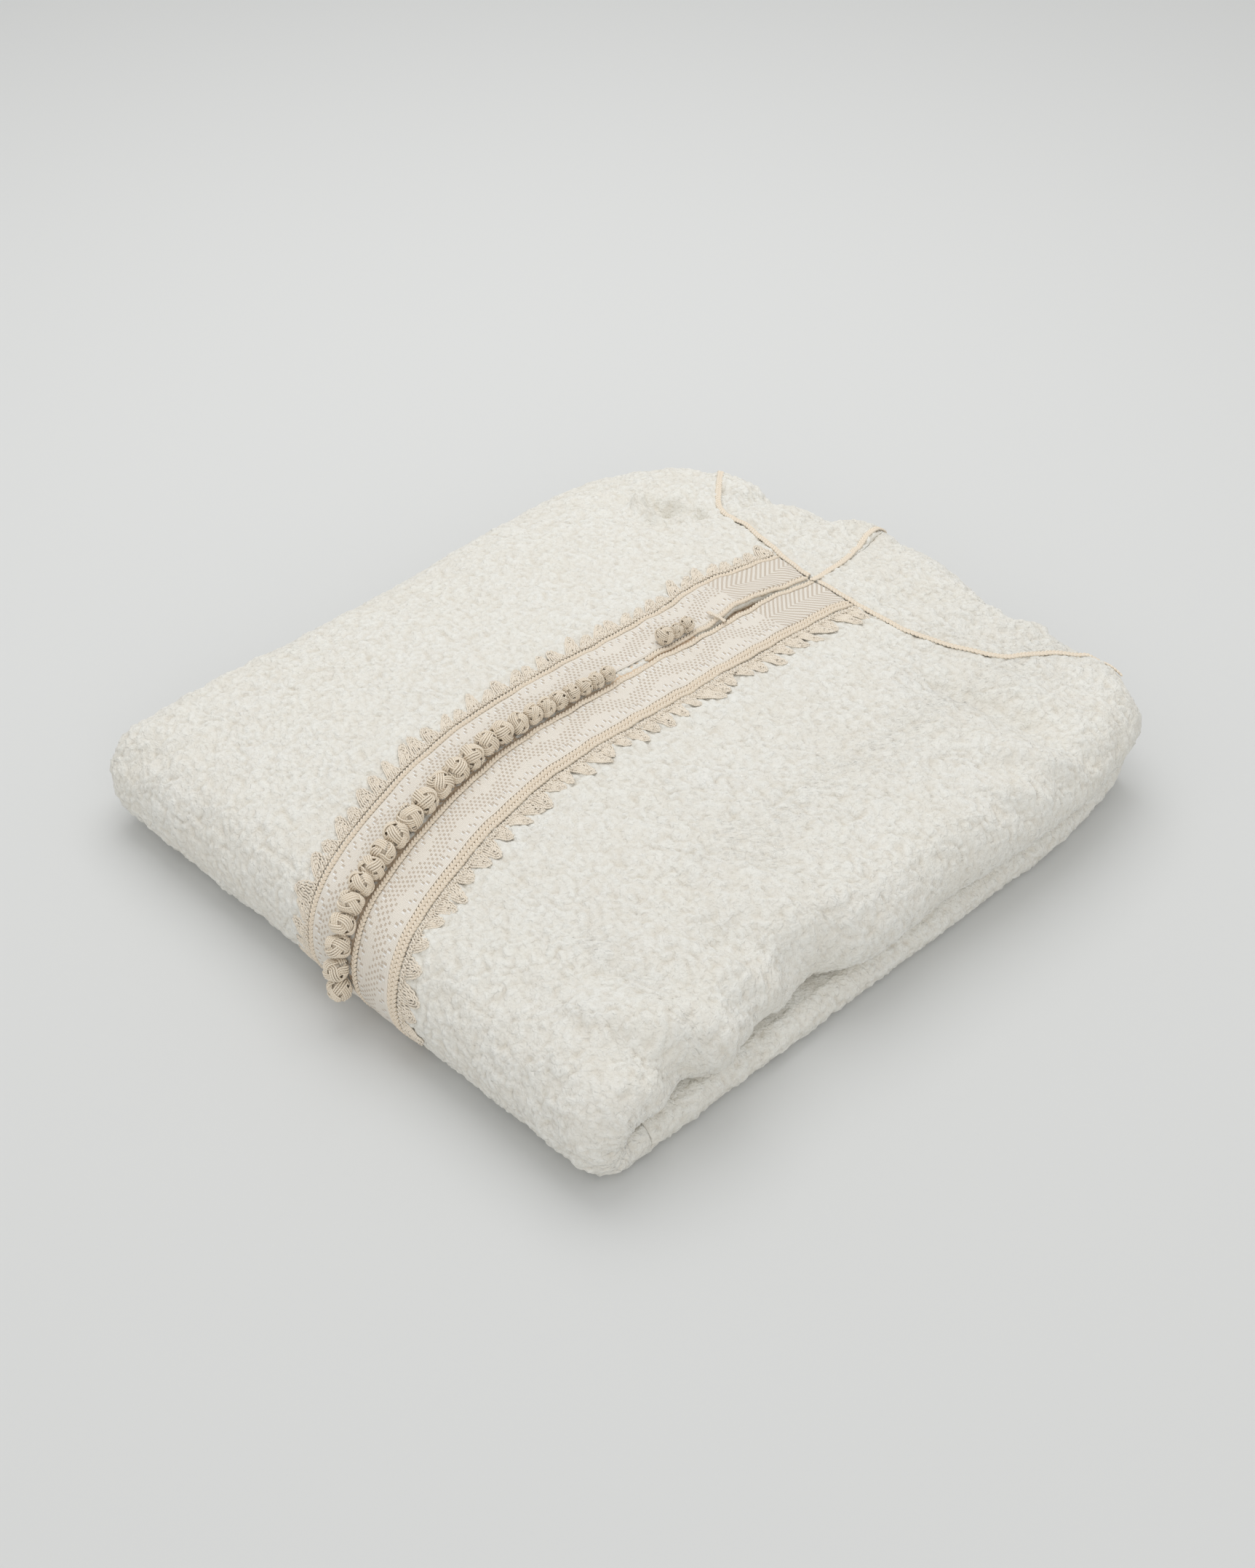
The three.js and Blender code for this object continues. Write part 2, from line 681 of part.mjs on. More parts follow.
// Round cord lying on the sheet along a path given by a place on the sheet.
function addRoundCord(name, radius, steps, place) {
  const sides = 6;
  const rings = spaced(0, 1, steps).map((t) => {
    const [across, along] = place(t);
    const centre = onSheet(across, along, gap + radius);
    const up = sheetNormal(across, along);
    const ahead = onSheet(...place(t + 0.01), gap + radius).sub(centre);
    const behind = onSheet(...place(t - 0.01), gap + radius).sub(centre);
    const way = ahead.sub(behind).normalize();
    const aside = new THREE.Vector3().crossVectors(up, way).normalize();
    return spaced(0, 2 * Math.PI, sides)
      .slice(0, sides)
      .map((angle) =>
        centre
          .clone()
          .addScaledVector(aside, radius * Math.cos(angle))
          .addScaledVector(up, radius * Math.sin(angle)),
      );
  });
  const axesAt = (end) => {
    const ring = rings[end];
    const first = ring[0].clone().sub(ring[sides / 2]).normalize();
    const normal = first.clone().cross(ring[1].clone().sub(ring[4]));
    return [first, normal.cross(first).normalize()];
  };
  add(name, loft(rings, axesAt), colours.cord, 0.8);
}

function addSeamCords() {
  const seamEnd = hoodSeamAt(neckAt(seamCords.cross));
  const clear = 2 * neckCord;
  const neckPlace = (from, to) => (t) => {
    const across = mix(from, to, t);
    return [across, neckAt(across) + gap / 2];
  };
  addRoundCord("neck_cord_right", neckCord, 26, neckPlace(seamEnd + clear, seamCords.right));
  addRoundCord("neck_cord_left", neckCord, 24, neckPlace(seamEnd - clear, seamCords.left));
  addRoundCord("hood_cord", neckCord, 14, (t) => {
    const along = mix(neckAt(seamCords.cross) - neckCord, seamCords.top, t);
    return [hoodSeamAt(along), along];
  });
}

// ---- Knot buttons and the thread bar ----------------------------------------------------------

const seat = 2 * gap + braid.thick; // height that the knots stand at

function knotFrame(along, shift, width) {
  const place = (at, height) => onSheet(slitAt(at) - shift, at, height);
  const up = sheetNormal(slitAt(along) - shift, along);
  const ahead = place(along + 1, seat).sub(place(along - 1, seat));
  const way = ahead.addScaledVector(up, -ahead.dot(up)).normalize();
  return { centre: place(along, seat + width / 2), up, way };
}

function addKnot(index, { centre, up, way }, width, length) {
  const aside = new THREE.Vector3().crossVectors(way, up);
  const ball = new THREE.SphereGeometry(0.5, 8, 5);
  ball.applyMatrix4(new THREE.Matrix4().makeBasis(
    aside.multiplyScalar(width),
    way.multiplyScalar(length),
    up.multiplyScalar(width),
  ));
  ball.translate(centre.x, centre.y, centre.z);
  add(`knot_${String(index).padStart(2, "0")}`, ball, colours.knot, 0.8);
}

function addKnots() {
  const row = knotRow.map((along) => {
    const width = curve(knotSizes, "along", "width", along);
    return { width, frame: knotFrame(along, curve(knotSizes, "along", "shift", along), width) };
  });
  row.forEach(({ width, frame }, k) => {
    const rooms = [row[k - 1], row[k + 1]]
      .filter(Boolean)
      .map((other) => frame.centre.distanceTo(other.frame.centre) - gap);
    addKnot(k + 1, frame, width, Math.min(width, ...rooms));
  });
  looseKnots.forEach(({ along, shift, width }, k) => {
    addKnot(row.length + k + 1, knotFrame(along, shift, width), width, width);
  });
}

function addThreadBar() {
  const { along, from, to, radius } = threadBar;
  const high = 2 * gap + cord.thick + radius;
  const place = (t) => onSheet(slitAt(along) + mix(from, to, t), along, high);
  const path = new THREE.CatmullRomCurve3(spaced(0, 1, 5).map(place));
  const circle = new THREE.Shape().absarc(0, 0, radius, 0, 2 * Math.PI);
  const bar = new THREE.ExtrudeGeometry(circle, { extrudePath: path, steps: 6, curveSegments: 3 });
  add("thread_bar", bar, colours.cord, 0.8);
}

// ---- Assembly ---------------------------------------------------------------------------------

addFront("front_left", -1);
addFront("front_right", 1);
addSkirt();
addHood("hood_left", -1);
addHood("hood_right", 1);
await addFoldedLayers();
addPlacket();
addSeamCords();
addKnots();
addThreadBar();

export default meshes;
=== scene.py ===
"""Dresses the folded hooded robe: curly cloth, woven braids, cords, looped trims and knots."""

import math
from functools import partial

import bpy
import numpy as np
from mathutils import Euler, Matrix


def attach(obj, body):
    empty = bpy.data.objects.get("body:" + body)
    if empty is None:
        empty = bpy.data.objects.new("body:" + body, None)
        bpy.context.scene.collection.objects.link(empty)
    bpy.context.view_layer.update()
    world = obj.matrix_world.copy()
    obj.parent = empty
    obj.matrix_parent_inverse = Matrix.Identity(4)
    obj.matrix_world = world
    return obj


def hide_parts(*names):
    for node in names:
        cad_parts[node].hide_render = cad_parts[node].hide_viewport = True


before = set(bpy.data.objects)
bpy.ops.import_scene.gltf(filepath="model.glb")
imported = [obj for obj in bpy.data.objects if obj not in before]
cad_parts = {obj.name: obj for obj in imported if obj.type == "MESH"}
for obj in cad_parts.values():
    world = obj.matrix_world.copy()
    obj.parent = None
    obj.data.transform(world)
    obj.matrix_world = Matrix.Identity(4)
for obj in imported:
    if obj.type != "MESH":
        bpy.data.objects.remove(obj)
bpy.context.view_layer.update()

bl_info = {
    "name": "Folded hooded robe",
    "version": (1, 0, 0),
    "blender": (4, 5, 0),
    "location": "3D View > Sidebar > Robe",
    "description": "Builds the cloth, braids, cords and knots of a folded hooded robe",
    "category": "Object",
}

# ---- Sizes of the folded form, in millimetres ---------------------------------------------------

CLOTH = 3.0  # wall of the cloth
GAP = 0.3  # between pieces that lie together
MIDDLE = 16.0  # plane where the upper and the lower stack meet
FOLD_START = -150.0  # where the front fold begins
FOLD_RADIUS = 22.0
FOLD_LENGTH = math.pi * FOLD_RADIUS
FOLD_END = FOLD_START - FOLD_LENGTH
SKIRT_REACH = {"left": 137.0, "right": 148.5}
SKIRT_TURN = 0.93  # share of its side folds that the skirt goes round
SKIRT_END = 302.0  # how far back the skirt ends, from the front fold
SIDE_RADIUS = {"left": 17.0, "right": 14.0, "skirt": 9.0, "back": 24.0}
HALF_WIDTH = 150.0  # beyond it the face keeps its height
SIDE_STATION = 140.0  # distance from the middle at which the sides are measured
LAYER_HALF_WIDTH = 130.0  # beyond it the inner layers keep the thickness of the stack
BACK_RIGHT_END, FRONT_LEFT_END = 152.0, -172.0  # where the cut of these two corners begins
BACK_HALF_HEIGHT = 20.0
UNDER_LAP = 8.0  # how far the front goes on underneath, up to the skirt
HOOD_TUCK = 38.0  # how far the hood goes down behind the back edge
HOOD_SHARE = {"left": 0.66, "right": 0.62}  # of the front's width at the neck
CROWN_WIDTH, CROWN_POWER, CROWN_END = 135.0, 2.2, 1.15
LEAST_FOLD_POWER = 1.6  # shapes how the thickness changes round the front fold
# Distances from the slit are given for the near edge of a piece and for the far edge of the braids.
INNER_CORD = {"left": 0.45, "right": 1.5}
BRAID = {"left": 2.9, "right": 3.95, "outer": 21.6, "thick": 1.2, "length": 310.0}
CORD = {"width": 2.0, "thick": 1.7}
TRIM = {"inner": 26.4, "pitch": 7.2, "length": 300.0}
NECK_CORD = {"radius": 1.2, "thick": 1.1, "left": -112.0, "right": 123.0, "crossing": 3.0}
HOOD_CORD_END = 171.0
PLACKET_BOTTOM = -203.0
LEFT_CORD_START = 5.0  # the left inner cord begins here, above the row of knots
NECK_CLEAR = 2.6  # between the placket's pieces and the neck seam
CENTRING = np.array([-2.29, 3.475, 0.0])  # from the folded sheet to the middle of the frame

# Tables of the folded form: the first row is the distance, the next ones its values.
TOP_ALONG = (-150, -110, -60, 0, 60, 110, 150)
TOP_HEIGHT = {
    "left": (42, 47, 48, 49, 51, 50, 46),
    "centre": (45, 55, 61, 63, 63, 61, 56),
    "right": (44, 50, 51, 51, 50, 48, 45),
}
RIGHT_REACH = (
    (-172, -150, -138, -122, -108, -97, -82, -72, -50, -36, -20, 15, 60, 100, 130, 172),
    (150, 151, 151, 147, 153, 150, 146.5, 147.5, 143.5, 150, 153, 151, 153.5, 153, 149, 146),
)
LEFT_REACH = ((-172, -150, -115, -30, 46, 113, 172), (148, 147, 144, 143.5, 148, 149, 146))
BACK_REACH = (
    (-150, -95, -47, -25, -10, 28, 62, 90, 150),
    (157, 158, 156, 167, 171, 168, 158, 162, 163),
)
CORNERS = {"back_left": (60, 20), "back_right": (45, 8), "front_left": (40, 5), "low_right": (80, 14)}
SLIT = (
    (-230, -200, -173, -160, -148, -134, -120, -106, -91, -75, -44, -12, 27, 80, 105),
    (26, 25, 21, 17, 12, 8, 5, 2, 0, -2, -2, -1, 0, 1, 4),
)
SLIT_OPENING = (36.0, 88.0, 3.0)  # from, to and greatest width
NECK_SEAM = (
    (-190, -150, -125, -110, -99, -88, -68, -46, -27, -5, 20, 50, 64, 79, 90, 101, 116, 150, 190),
    (142, 148, 155, 155, 149, 138, 118, 113, 107, 101, 99, 100, 104, 112, 121, 142, 158, 164, 166),
)
HOOD_SEAM = ((90, 101, 124, 161, 215), (4.4, 4, 1, -12, -18))
SIDE_TURNS = (
    (-219, -185, -165, -150, -134, -124, -114, -88, -72, -56, -34, 100, 170),
    (0.84, 0.78, 0.76, 0.84, 0.94, 0.82, 0.94, 0.94, 0.74, 0.8, 0.95, 0.96, 0.86),
)
KNOT_ROW = (
    -182.5, -175.4, -168.6, -162.8, -157.4, -152.2, -146.4, -139, -130.8, -122.4, -113.8, -104.9,
    -96, -87.3, -78.8, -70.5, -62.4, -54.8, -48, -41.4, -34.9, -28.5, -22.2, -16,
)
KNOT_ALONG = (-182, -140, -80, -54, -16)
KNOT_WIDTH = (8.2, 8.8, 8.6, 7.2, 5.8)
KNOT_SHIFT = (2.2, 2.6, 2.4, 2, 1.4)
LOOSE_KNOTS = ((18.2, 4.4, 6.8), (24.8, 4.2, 5.4), (30.8, 4.3, 5.8))  # along, shift and width

# Creases of the cloth: from, to, spread and rise. SOFT_CREASES are the shallow ones.
CREASES = (
    ((126, -84), (150, -66), 11, -6),
    ((120, -96), (152, -78), 7, 2.5),
    ((122, -116), (150, -98), 7, -2.5),
    ((118, -139), (156, -112), 9, 4),
    ((135, -146), (158, -128), 7, -3),
    ((84, 84), (128, 102), 10, -3.5),
    ((86, 60), (140, 82), 9, 2.5),
    ((60, 90), (88, 104), 8, -2),
    ((-92, 104), (-80, 92), 7, -4),
    ((-104, 116), (-84, 122), 9, 3),
    ((-92, 146), (-72, 140), 8, 3.5),
    ((70, 124), (76, 140), 9, -2.5),
    ((-122, -160), (-116, -156), 9, -2.5),
    ((-120, 20), (-70, 48), 14, 1.5),
)
SOFT_CREASES = (
    ((96, -76), (128, -84), 7, -1.2),
    ((104, -60), (150, -52), 8, 1.4),
    ((108, -98), (126, -90), 6, 1.0),
    ((100, -130), (128, -122), 7, -1.2),
    ((60, -168), (96, -150), 8, -0.9),
    ((-60, -170), (-96, -152), 9, -0.8),
    ((-78, -20), (-104, -6), 12, -0.7),
    ((-96, 66), (-70, 78), 9, -1.0),
    ((-70, 98), (-84, 90), 3.5, 3.4),
    ((-84, 90), (-97, 94), 3.5, 4.0),
    ((-97, 94), (-103, 104), 3.5, 3.6),
    ((-88, 98), (-84, 108), 3.5, -5.0),
    ((-78, 100), (-74, 110), 3, -3.4),
    ((-94, 108), (-84, 112), 3.5, 3.2),
    ((-84, 114), (-70, 106), 3.5, -3.6),
    ((-106, 108), (-112, 92), 5, -1.4),
    ((-118, 96), (-126, 84), 8, 1.0),
    ((-68, 126), (-60, 150), 5, -2.2),
    ((-52, 122), (-46, 148), 6, 2.0),
    ((-36, 124), (-30, 158), 5, -2.0),
    ((-24, 132), (-16, 168), 5, 2.4),
    ((-4, 140), (2, 164), 4, -1.8),
    ((16, 120), (24, 150), 7, 1.6),
    ((34, 112), (48, 140), 6, -1.8),
    ((50, 120), (66, 146), 5, 1.8),
    ((74, 140), (84, 156), 4, 3.2),
    ((84, 132), (92, 146), 4, -2.4),
    ((96, 120), (118, 126), 6, -1.6),
    ((100, 110), (130, 116), 5, 1.4),
    ((112, 152), (122, 162), 4, 2.6),
    ((118, 134), (140, 140), 6, -1.6),
    ((88, 88), (124, 97), 5, -2.4),
    ((92, 78), (128, 86), 5, 1.6),
    ((118, 84), (148, 106), 4.5, -2.2),
    ((126, 70), (148, 94), 5, 1.8),
    ((134, 52), (152, 72), 5, 1.6),
    ((136, 44), (154, 60), 5, -1.4),
    ((132, 24), (150, 44), 10, 1.0),
    ((128, -8), (150, -16), 9, -1.0),
    ((130, 66), (150, 90), 8, -1.2),
    ((70, 24), (108, 44), 12, 0.7),
)


# ---- The folded sheet ---------------------------------------------------------------------------


def curve(table, t):
    """Smooth curve through the rows of a table, held level beyond its ends."""
    xs, ys = (np.asarray(row, float) for row in table)
    t = np.clip(np.asarray(t, float), xs[0], xs[-1])
    slopes = np.empty_like(ys)
    slopes[1:-1] = (ys[2:] - ys[:-2]) / (xs[2:] - xs[:-2])
    slopes[0] = (ys[1] - ys[0]) / (xs[1] - xs[0])
    slopes[-1] = (ys[-1] - ys[-2]) / (xs[-1] - xs[-2])
    i = np.clip(np.searchsorted(xs, t, side="right") - 1, 0, len(xs) - 2)
    step = xs[i + 1] - xs[i]
    u = (t - xs[i]) / step
    bend = (1 - u) * step * slopes[i] - u * step * slopes[i + 1]
    return ys[i] + u * u * (3 - 2 * u) * (ys[i + 1] - ys[i]) + u * (1 - u) * bend


def mix(a, b, t):
    return a + (b - a) * t


def step_in(corner, distance):
    """How far a corner is cut back at a distance from it."""
    length, cut = CORNERS[corner]
    return cut * np.clip(1 - distance / length, 0, 1) ** 2


def half_ellipse(a, b):
    """Length round half of an ellipse with these two radii."""
    return math.pi * np.sqrt((a * a + b * b) / 2)


def face_height(x, along):
    """Height of the face over the floor, highest along the middle."""
    left, centre, right = (curve((TOP_ALONG, heights), along) for heights in TOP_HEIGHT.values())
    side = np.where(x < 0, left, right)
    return mix(centre, side, np.minimum(np.abs(x) / CROWN_WIDTH, CROWN_END) ** CROWN_POWER)


def back_ridge(across):
    """Distance along at which the cloth turns down at the back."""
    across = np.asarray(across, float)
    return (
        curve(BACK_REACH, across)
        - step_in("back_left", np.maximum(across + HALF_WIDTH, 0))
        - step_in("back_right", np.maximum(BACK_RIGHT_END - across, 0))
    )


def fold_turn(along):
    """Angle that the sheet has turned round the front fold, 0 on top and pi underneath."""
    return np.clip((FOLD_START - along) / FOLD_RADIUS, 0, math.pi)


def under_fold(along):
    """Distance that the sheet has run back underneath, past the front fold."""
    return np.maximum(FOLD_START - along - FOLD_LENGTH, 0)


def stack_at(across, along):
    """Thickness of the stack under a point of the sheet."""
    back_start = back_ridge(across) - SIDE_RADIUS["back"]
    x = np.clip(across, -HALF_WIDTH, HALF_WIDTH)
    upper = face_height(x, np.clip(along, FOLD_START, back_start)) - MIDDLE - GAP
    lower = MIDDLE - GAP
    slope = face_height(x, FOLD_START + 1) - face_height(x, FOLD_START)
    power = np.maximum(math.pi * slope * upper / (upper - lower), LEAST_FOLD_POWER)
    return mix(upper, lower, 1 - (1 - fold_turn(along) / math.pi) ** power)


def side_fold(right, along, stack):
    """Start, radius and length of the side fold beside a point."""
    below = (1 - np.cos(fold_turn(along))) / 2
    ridge = np.where(right, back_ridge(SIDE_STATION), back_ridge(-SIDE_STATION))
    station = np.clip(along, FOLD_START, ridge)
    reach_right = curve(RIGHT_REACH, station) - step_in("back_right", ridge - station)
    reach_left = (
        curve(LEFT_REACH, station)
        - step_in("back_left", ridge - station)
        - step_in("front_left", station - FRONT_LEFT_END)
    )
    upper = np.where(right, reach_right, reach_left)
    low_right = SKIRT_REACH["right"] - step_in("low_right", ridge - FOLD_START - under_fold(along))
    reach = mix(upper, np.where(right, low_right, SKIRT_REACH["left"]), below)
    radius = mix(np.where(right, SIDE_RADIUS["right"], SIDE_RADIUS["left"]), SIDE_RADIUS["skirt"], below)
    return reach - radius, radius, half_ellipse(radius, stack / 2)


def across_at_turn(side, along, turn):
    """Distance from the middle, a share of the way round the side fold."""
    start, _, length = side_fold(side > 0, along, stack_at(side * SIDE_STATION, along))
    return start + turn * length


def smooth_sheet(across, along, share=1.0):
    """Outer face of the sheet before its creases. A share below 1 is nearer the stack's middle."""
    across, along = np.broadcast_arrays(np.asarray(across, float), np.asarray(along, float))
    turned = fold_turn(along)
    back_start = back_ridge(across) - SIDE_RADIUS["back"]
    back_length = half_ellipse(SIDE_RADIUS["back"], BACK_HALF_HEIGHT)
    back_turn = np.clip((along - back_start) / back_length * math.pi, 0, math.pi)
    stack = stack_at(across, along)
    start, radius, length = side_fold(across > 0, along, stack)
    out = np.abs(across) - start
    side_turn = np.clip(out / length * math.pi, 0, math.pi)
    past = np.maximum(out - length, 0)
    round_side = np.sign(across) * (start + radius * np.sin(side_turn) - past)
    thick = share * stack * (1 + np.cos(side_turn)) * (1 + np.cos(back_turn)) / 4
    spine_y = np.where(
        along < FOLD_START,
        FOLD_START + under_fold(along),
        np.minimum(along, back_start) + SIDE_RADIUS["back"] * np.sin(back_turn),
    )
    return over_spine(np.where(out < 0, across, round_side), spine_y, thick, turned)


def back_of(along):
    """Distance towards the back of a place in front of the back folds."""
    return FOLD_START + float(under_fold(along)) if along < FOLD_START else along


def over_spine(x, spine_y, height, turned):
    """Point at a height over the stack's middle, where the sheet has turned by an angle."""
    z = MIDDLE + GAP * np.cos(turned) + height * np.cos(turned)
    return np.stack([x, spine_y - height * np.sin(turned), z], -1)


def unit(vectors):
    return vectors / np.maximum(np.linalg.norm(vectors, axis=-1, keepdims=True), 1e-9)


def sheet_normal(across, along):
    """Direction straight out of the sheet."""
    step = 0.5
    du = smooth_sheet(across + step, along) - smooth_sheet(across - step, along)
    dv = smooth_sheet(across, along + step) - smooth_sheet(across, along - step)
    return unit(np.cross(du, dv))


def relief(across, along, creases):
    """Height that the creases add at a place."""
    rise = np.zeros(np.broadcast(across, along).shape)
    for a, b, spread, depth in creases:
        dx, dy = b[0] - a[0], b[1] - a[1]
        t = np.clip(((across - a[0]) * dx + (along - a[1]) * dy) / (dx * dx + dy * dy), 0, 1)
        away = np.hypot(across - a[0] - t * dx, along - a[1] - t * dy) / spread
        rise += depth * np.exp(-away * away)
    return rise


def wave(across, along):
    """Slow unevenness of the soft cloth."""
    broad = np.sin(across / 6.1 + 1.4 * np.sin(along / 9.7))
    broad = broad * np.sin(along / 5.3 + 1.2 * np.sin(across / 11.3))
    small = np.sin((across + along) / 3.1 + np.sin(across / 4.7)) * np.sin((across - along) / 4.3)
    return (0.6 * broad + 0.4 * small) * (0.6 + 0.4 * np.sin(across / 47 + along / 61 + 1))


def on_sheet(across, along, height=0.0):
    """Point at a height over the creased cloth."""
    across, along = np.broadcast_arrays(np.asarray(across, float), np.asarray(along, float))
    lift = relief(across, along, CREASES + SOFT_CREASES) + wave(across, along) + height
    return smooth_sheet(across, along) + sheet_normal(across, along) * lift[..., None]


def slit_at(along):
    """Distance across of the line where the two halves of the front meet."""
    return curve(SLIT, along)


def slit_gap(along):
    """Distance of the left half's edge from that line, more where the slit stands open."""
    begin, end, width = SLIT_OPENING
    t = np.clip((along - begin) / (end - begin), 0, 1)
    return GAP / 2 + width * np.sin(math.pi * t) ** 2


# ---- Curls of the cloth -------------------------------------------------------------------------


KNOB_RADIUS = 0.85  # of a curl, for curls that lie 1 apart
MIXERS = (374761393, 668265263, 1274126177)  # large primes that spread neighbours apart
LOW_32_BITS, LOW_16_BITS = 0xFFFFFFFF, 0xFFFF


def scatter(i, j, salt):
    """Even numbers from 0 to 1 that look random, one for each cell of a grid."""
    first, second, third = MIXERS
    n = (i.astype(np.int64) * first + j.astype(np.int64) * second + salt * third) & LOW_32_BITS
    n = ((n ^ (n >> 13)) * third) & LOW_32_BITS
    return ((n ^ (n >> 16)) & LOW_16_BITS) / LOW_16_BITS


def knobs(a, b, size, salt):
    """Height from 0 to 1 of small round curls that lie close together, about one size apart."""
    a, b = a / size, b / size
    i, j = np.floor(a), np.floor(b)
    near = np.full(a.shape, np.inf)
    tall = np.zeros_like(near)
    for di in (-1, 0, 1):
        for dj in (-1, 0, 1):
            ci, cj = i + di, j + dj
            dx = a - (ci + 0.1 + 0.8 * scatter(ci, cj, salt))
            dy = b - (cj + 0.1 + 0.8 * scatter(ci, cj, salt + 1))
            away = np.hypot(dx, dy)
            closer = away < near
            tall = np.where(closer, 0.6 + 0.4 * scatter(ci, cj, salt + 3), tall)
            near = np.where(closer, away, near)
    return tall * np.clip(1 - (near / KNOB_RADIUS) ** 2, 0, 1)


def curls(across, along, size):
    """Pile of the cloth at a place, from 0 in the crevices to about 1."""
    sway = 0.7 * np.sin(across / 2.3 + along / 5.1) + 0.7 * np.sin(along / 3.1 - across / 4.3)
    slant = 0.35 * (across + along)
    coarse = knobs(across + sway - slant * 0.3, along * 1.1 - sway + slant * 0.3, size, 11)
    broad = knobs(across + sway, along - sway, size * 2.1, 47)
    patches = knobs(across, along, size * 9, 83)
    return (0.8 * coarse + 0.3 * broad) * (0.8 + 0.3 * patches)


# ---- Meshes -------------------------------------------------------------------------------------


def grid_quads(rows, columns, round_columns=False, round_rows=False):
    """Faces of a grid of points, closed on itself where a direction is round."""
    i = np.arange(rows if round_rows else rows - 1)[:, None]
    j = np.arange(columns if round_columns else columns - 1)[None, :]
    ni, nj = (i + 1) % rows, (j + 1) % columns
    corners = [i * columns + j, i * columns + nj, ni * columns + nj, ni * columns + j]
    return np.stack([np.broadcast_to(c, (i.size, j.size)) for c in corners], -1).reshape(-1, 4)


def ball_of_quads(n):
    """Unit ball made of six bent grids, as points and faces."""
    line = np.tan(np.linspace(-math.pi / 4, math.pi / 4, n + 1))
    v, u = np.meshgrid(line, line, indexing="ij")
    one = np.ones_like(u)
    sides = [(one, u, v), (-one, -u, v), (-u, one, v), (u, -one, v), (v, u, -one), (-v, u, one)]
    points, faces = [], []
    for k, side in enumerate(sides):
        points.append(unit(np.stack(side, -1).reshape(-1, 3)))
        faces.append(grid_quads(n + 1, n + 1) + k * (n + 1) ** 2)
    points, faces = np.concatenate(points), np.concatenate(faces)
    _, first, same = np.unique(np.round(points, 5), axis=0, return_index=True, return_inverse=True)
    points, faces = points[first], same.reshape(-1)[faces]
    a, b, c = (points[faces[:, k]] for k in range(3))
    inward = (np.cross(b - a, c - a) * a).sum(-1) < 0
    faces[inward] = faces[inward][:, ::-1]
    return points, faces


def tubes(centres, toward, radius, sides, round_path=False, lobes=0, lay=1.0):
    """Round threads through rows of points. A thread of two or three plies has lobes that turn."""
    strands, count = centres.shape[:2]
    swelling = 0.2  # of the plies
    if round_path:
        ahead = np.roll(centres, -1, 1) - np.roll(centres, 1, 1)
        step = np.linalg.norm(np.roll(centres, -1, 1) - centres, axis=-1)
    else:
        ahead = np.gradient(centres, axis=1)
        step = np.linalg.norm(np.diff(centres, axis=1, append=centres[:, -1:]), axis=-1)
    way = unit(ahead)
    aside = unit(np.cross(way, toward))
    up = np.cross(aside, way)
    angle = np.linspace(0, 2 * math.pi, sides, endpoint=False)
    travel = np.cumsum(step, 1) - step
    if lobes:
        turn = 2 * math.pi * travel[..., None] / lay
        swell = 1 + swelling * np.cos(lobes * (angle - turn / lobes))
    else:
        swell = np.ones((strands, count, sides))
    reach = np.broadcast_to(np.asarray(radius, float), (strands, count))[..., None] * swell
    ring = (
        centres[:, :, None]
        + aside[:, :, None] * (reach * np.cos(angle))[..., None]
        + up[:, :, None] * (reach * np.sin(angle))[..., None]
    )
    one = grid_quads(count, sides, round_columns=True, round_rows=round_path)
    faces = one[None] + (np.arange(strands) * count * sides)[:, None, None]
    uv = np.stack(np.broadcast_arrays(angle, travel[..., None]), -1)
    return ring.reshape(-1, 3), faces.reshape(-1, 4), uv.reshape(-1, 2)


def joined(parts):
    """Several sets of points, faces and values at the points as one."""
    points, faces, values = zip(*parts)
    starts = np.cumsum([0, *(len(each) for each in points[:-1])])
    moved = [each + start for each, start in zip(faces, starts)]
    return np.concatenate(points), np.concatenate(moved), np.concatenate(values)


def piece(name, points, faces, uv, material, stands_for=(), pile=None):
    """Mesh object from points in millimetres, dressed and riding on the robe."""
    mesh = bpy.data.meshes.new(name)
    places = (np.asarray(points).reshape(-1, 3) + CENTRING) / 1000
    mesh.vertices.add(len(places))
    mesh.vertices.foreach_set("co", places.ravel())
    mesh.loops.add(faces.size)
    mesh.loops.foreach_set("vertex_index", faces.ravel().astype(np.int32))
    mesh.polygons.add(len(faces))
    mesh.polygons.foreach_set("loop_start", np.arange(0, faces.size, 4, dtype=np.int32))
    mesh.polygons.foreach_set("use_smooth", np.ones(len(faces), bool))
    mesh.update(calc_edges=True)
    layer = mesh.uv_layers.new(name="thread")
    layer.data.foreach_set("uv", np.asarray(uv).reshape(-1, 2)[faces.ravel()].ravel())
    if pile is not None:
        mesh.attributes.new("pile", "FLOAT", "POINT").data.foreach_set("value", pile.ravel())
    if mesh.validate():
        raise RuntimeError(f"{name}: the mesh had faces that don't hold together")
    mesh.materials.append(material)
    made = bpy.data.objects.new(name, mesh)
    bpy.context.collection.objects.link(made)
    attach(made, "root")
    if stands_for:
        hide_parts(*stands_for)
    return made


# ---- Materials ----------------------------------------------------------------------------------


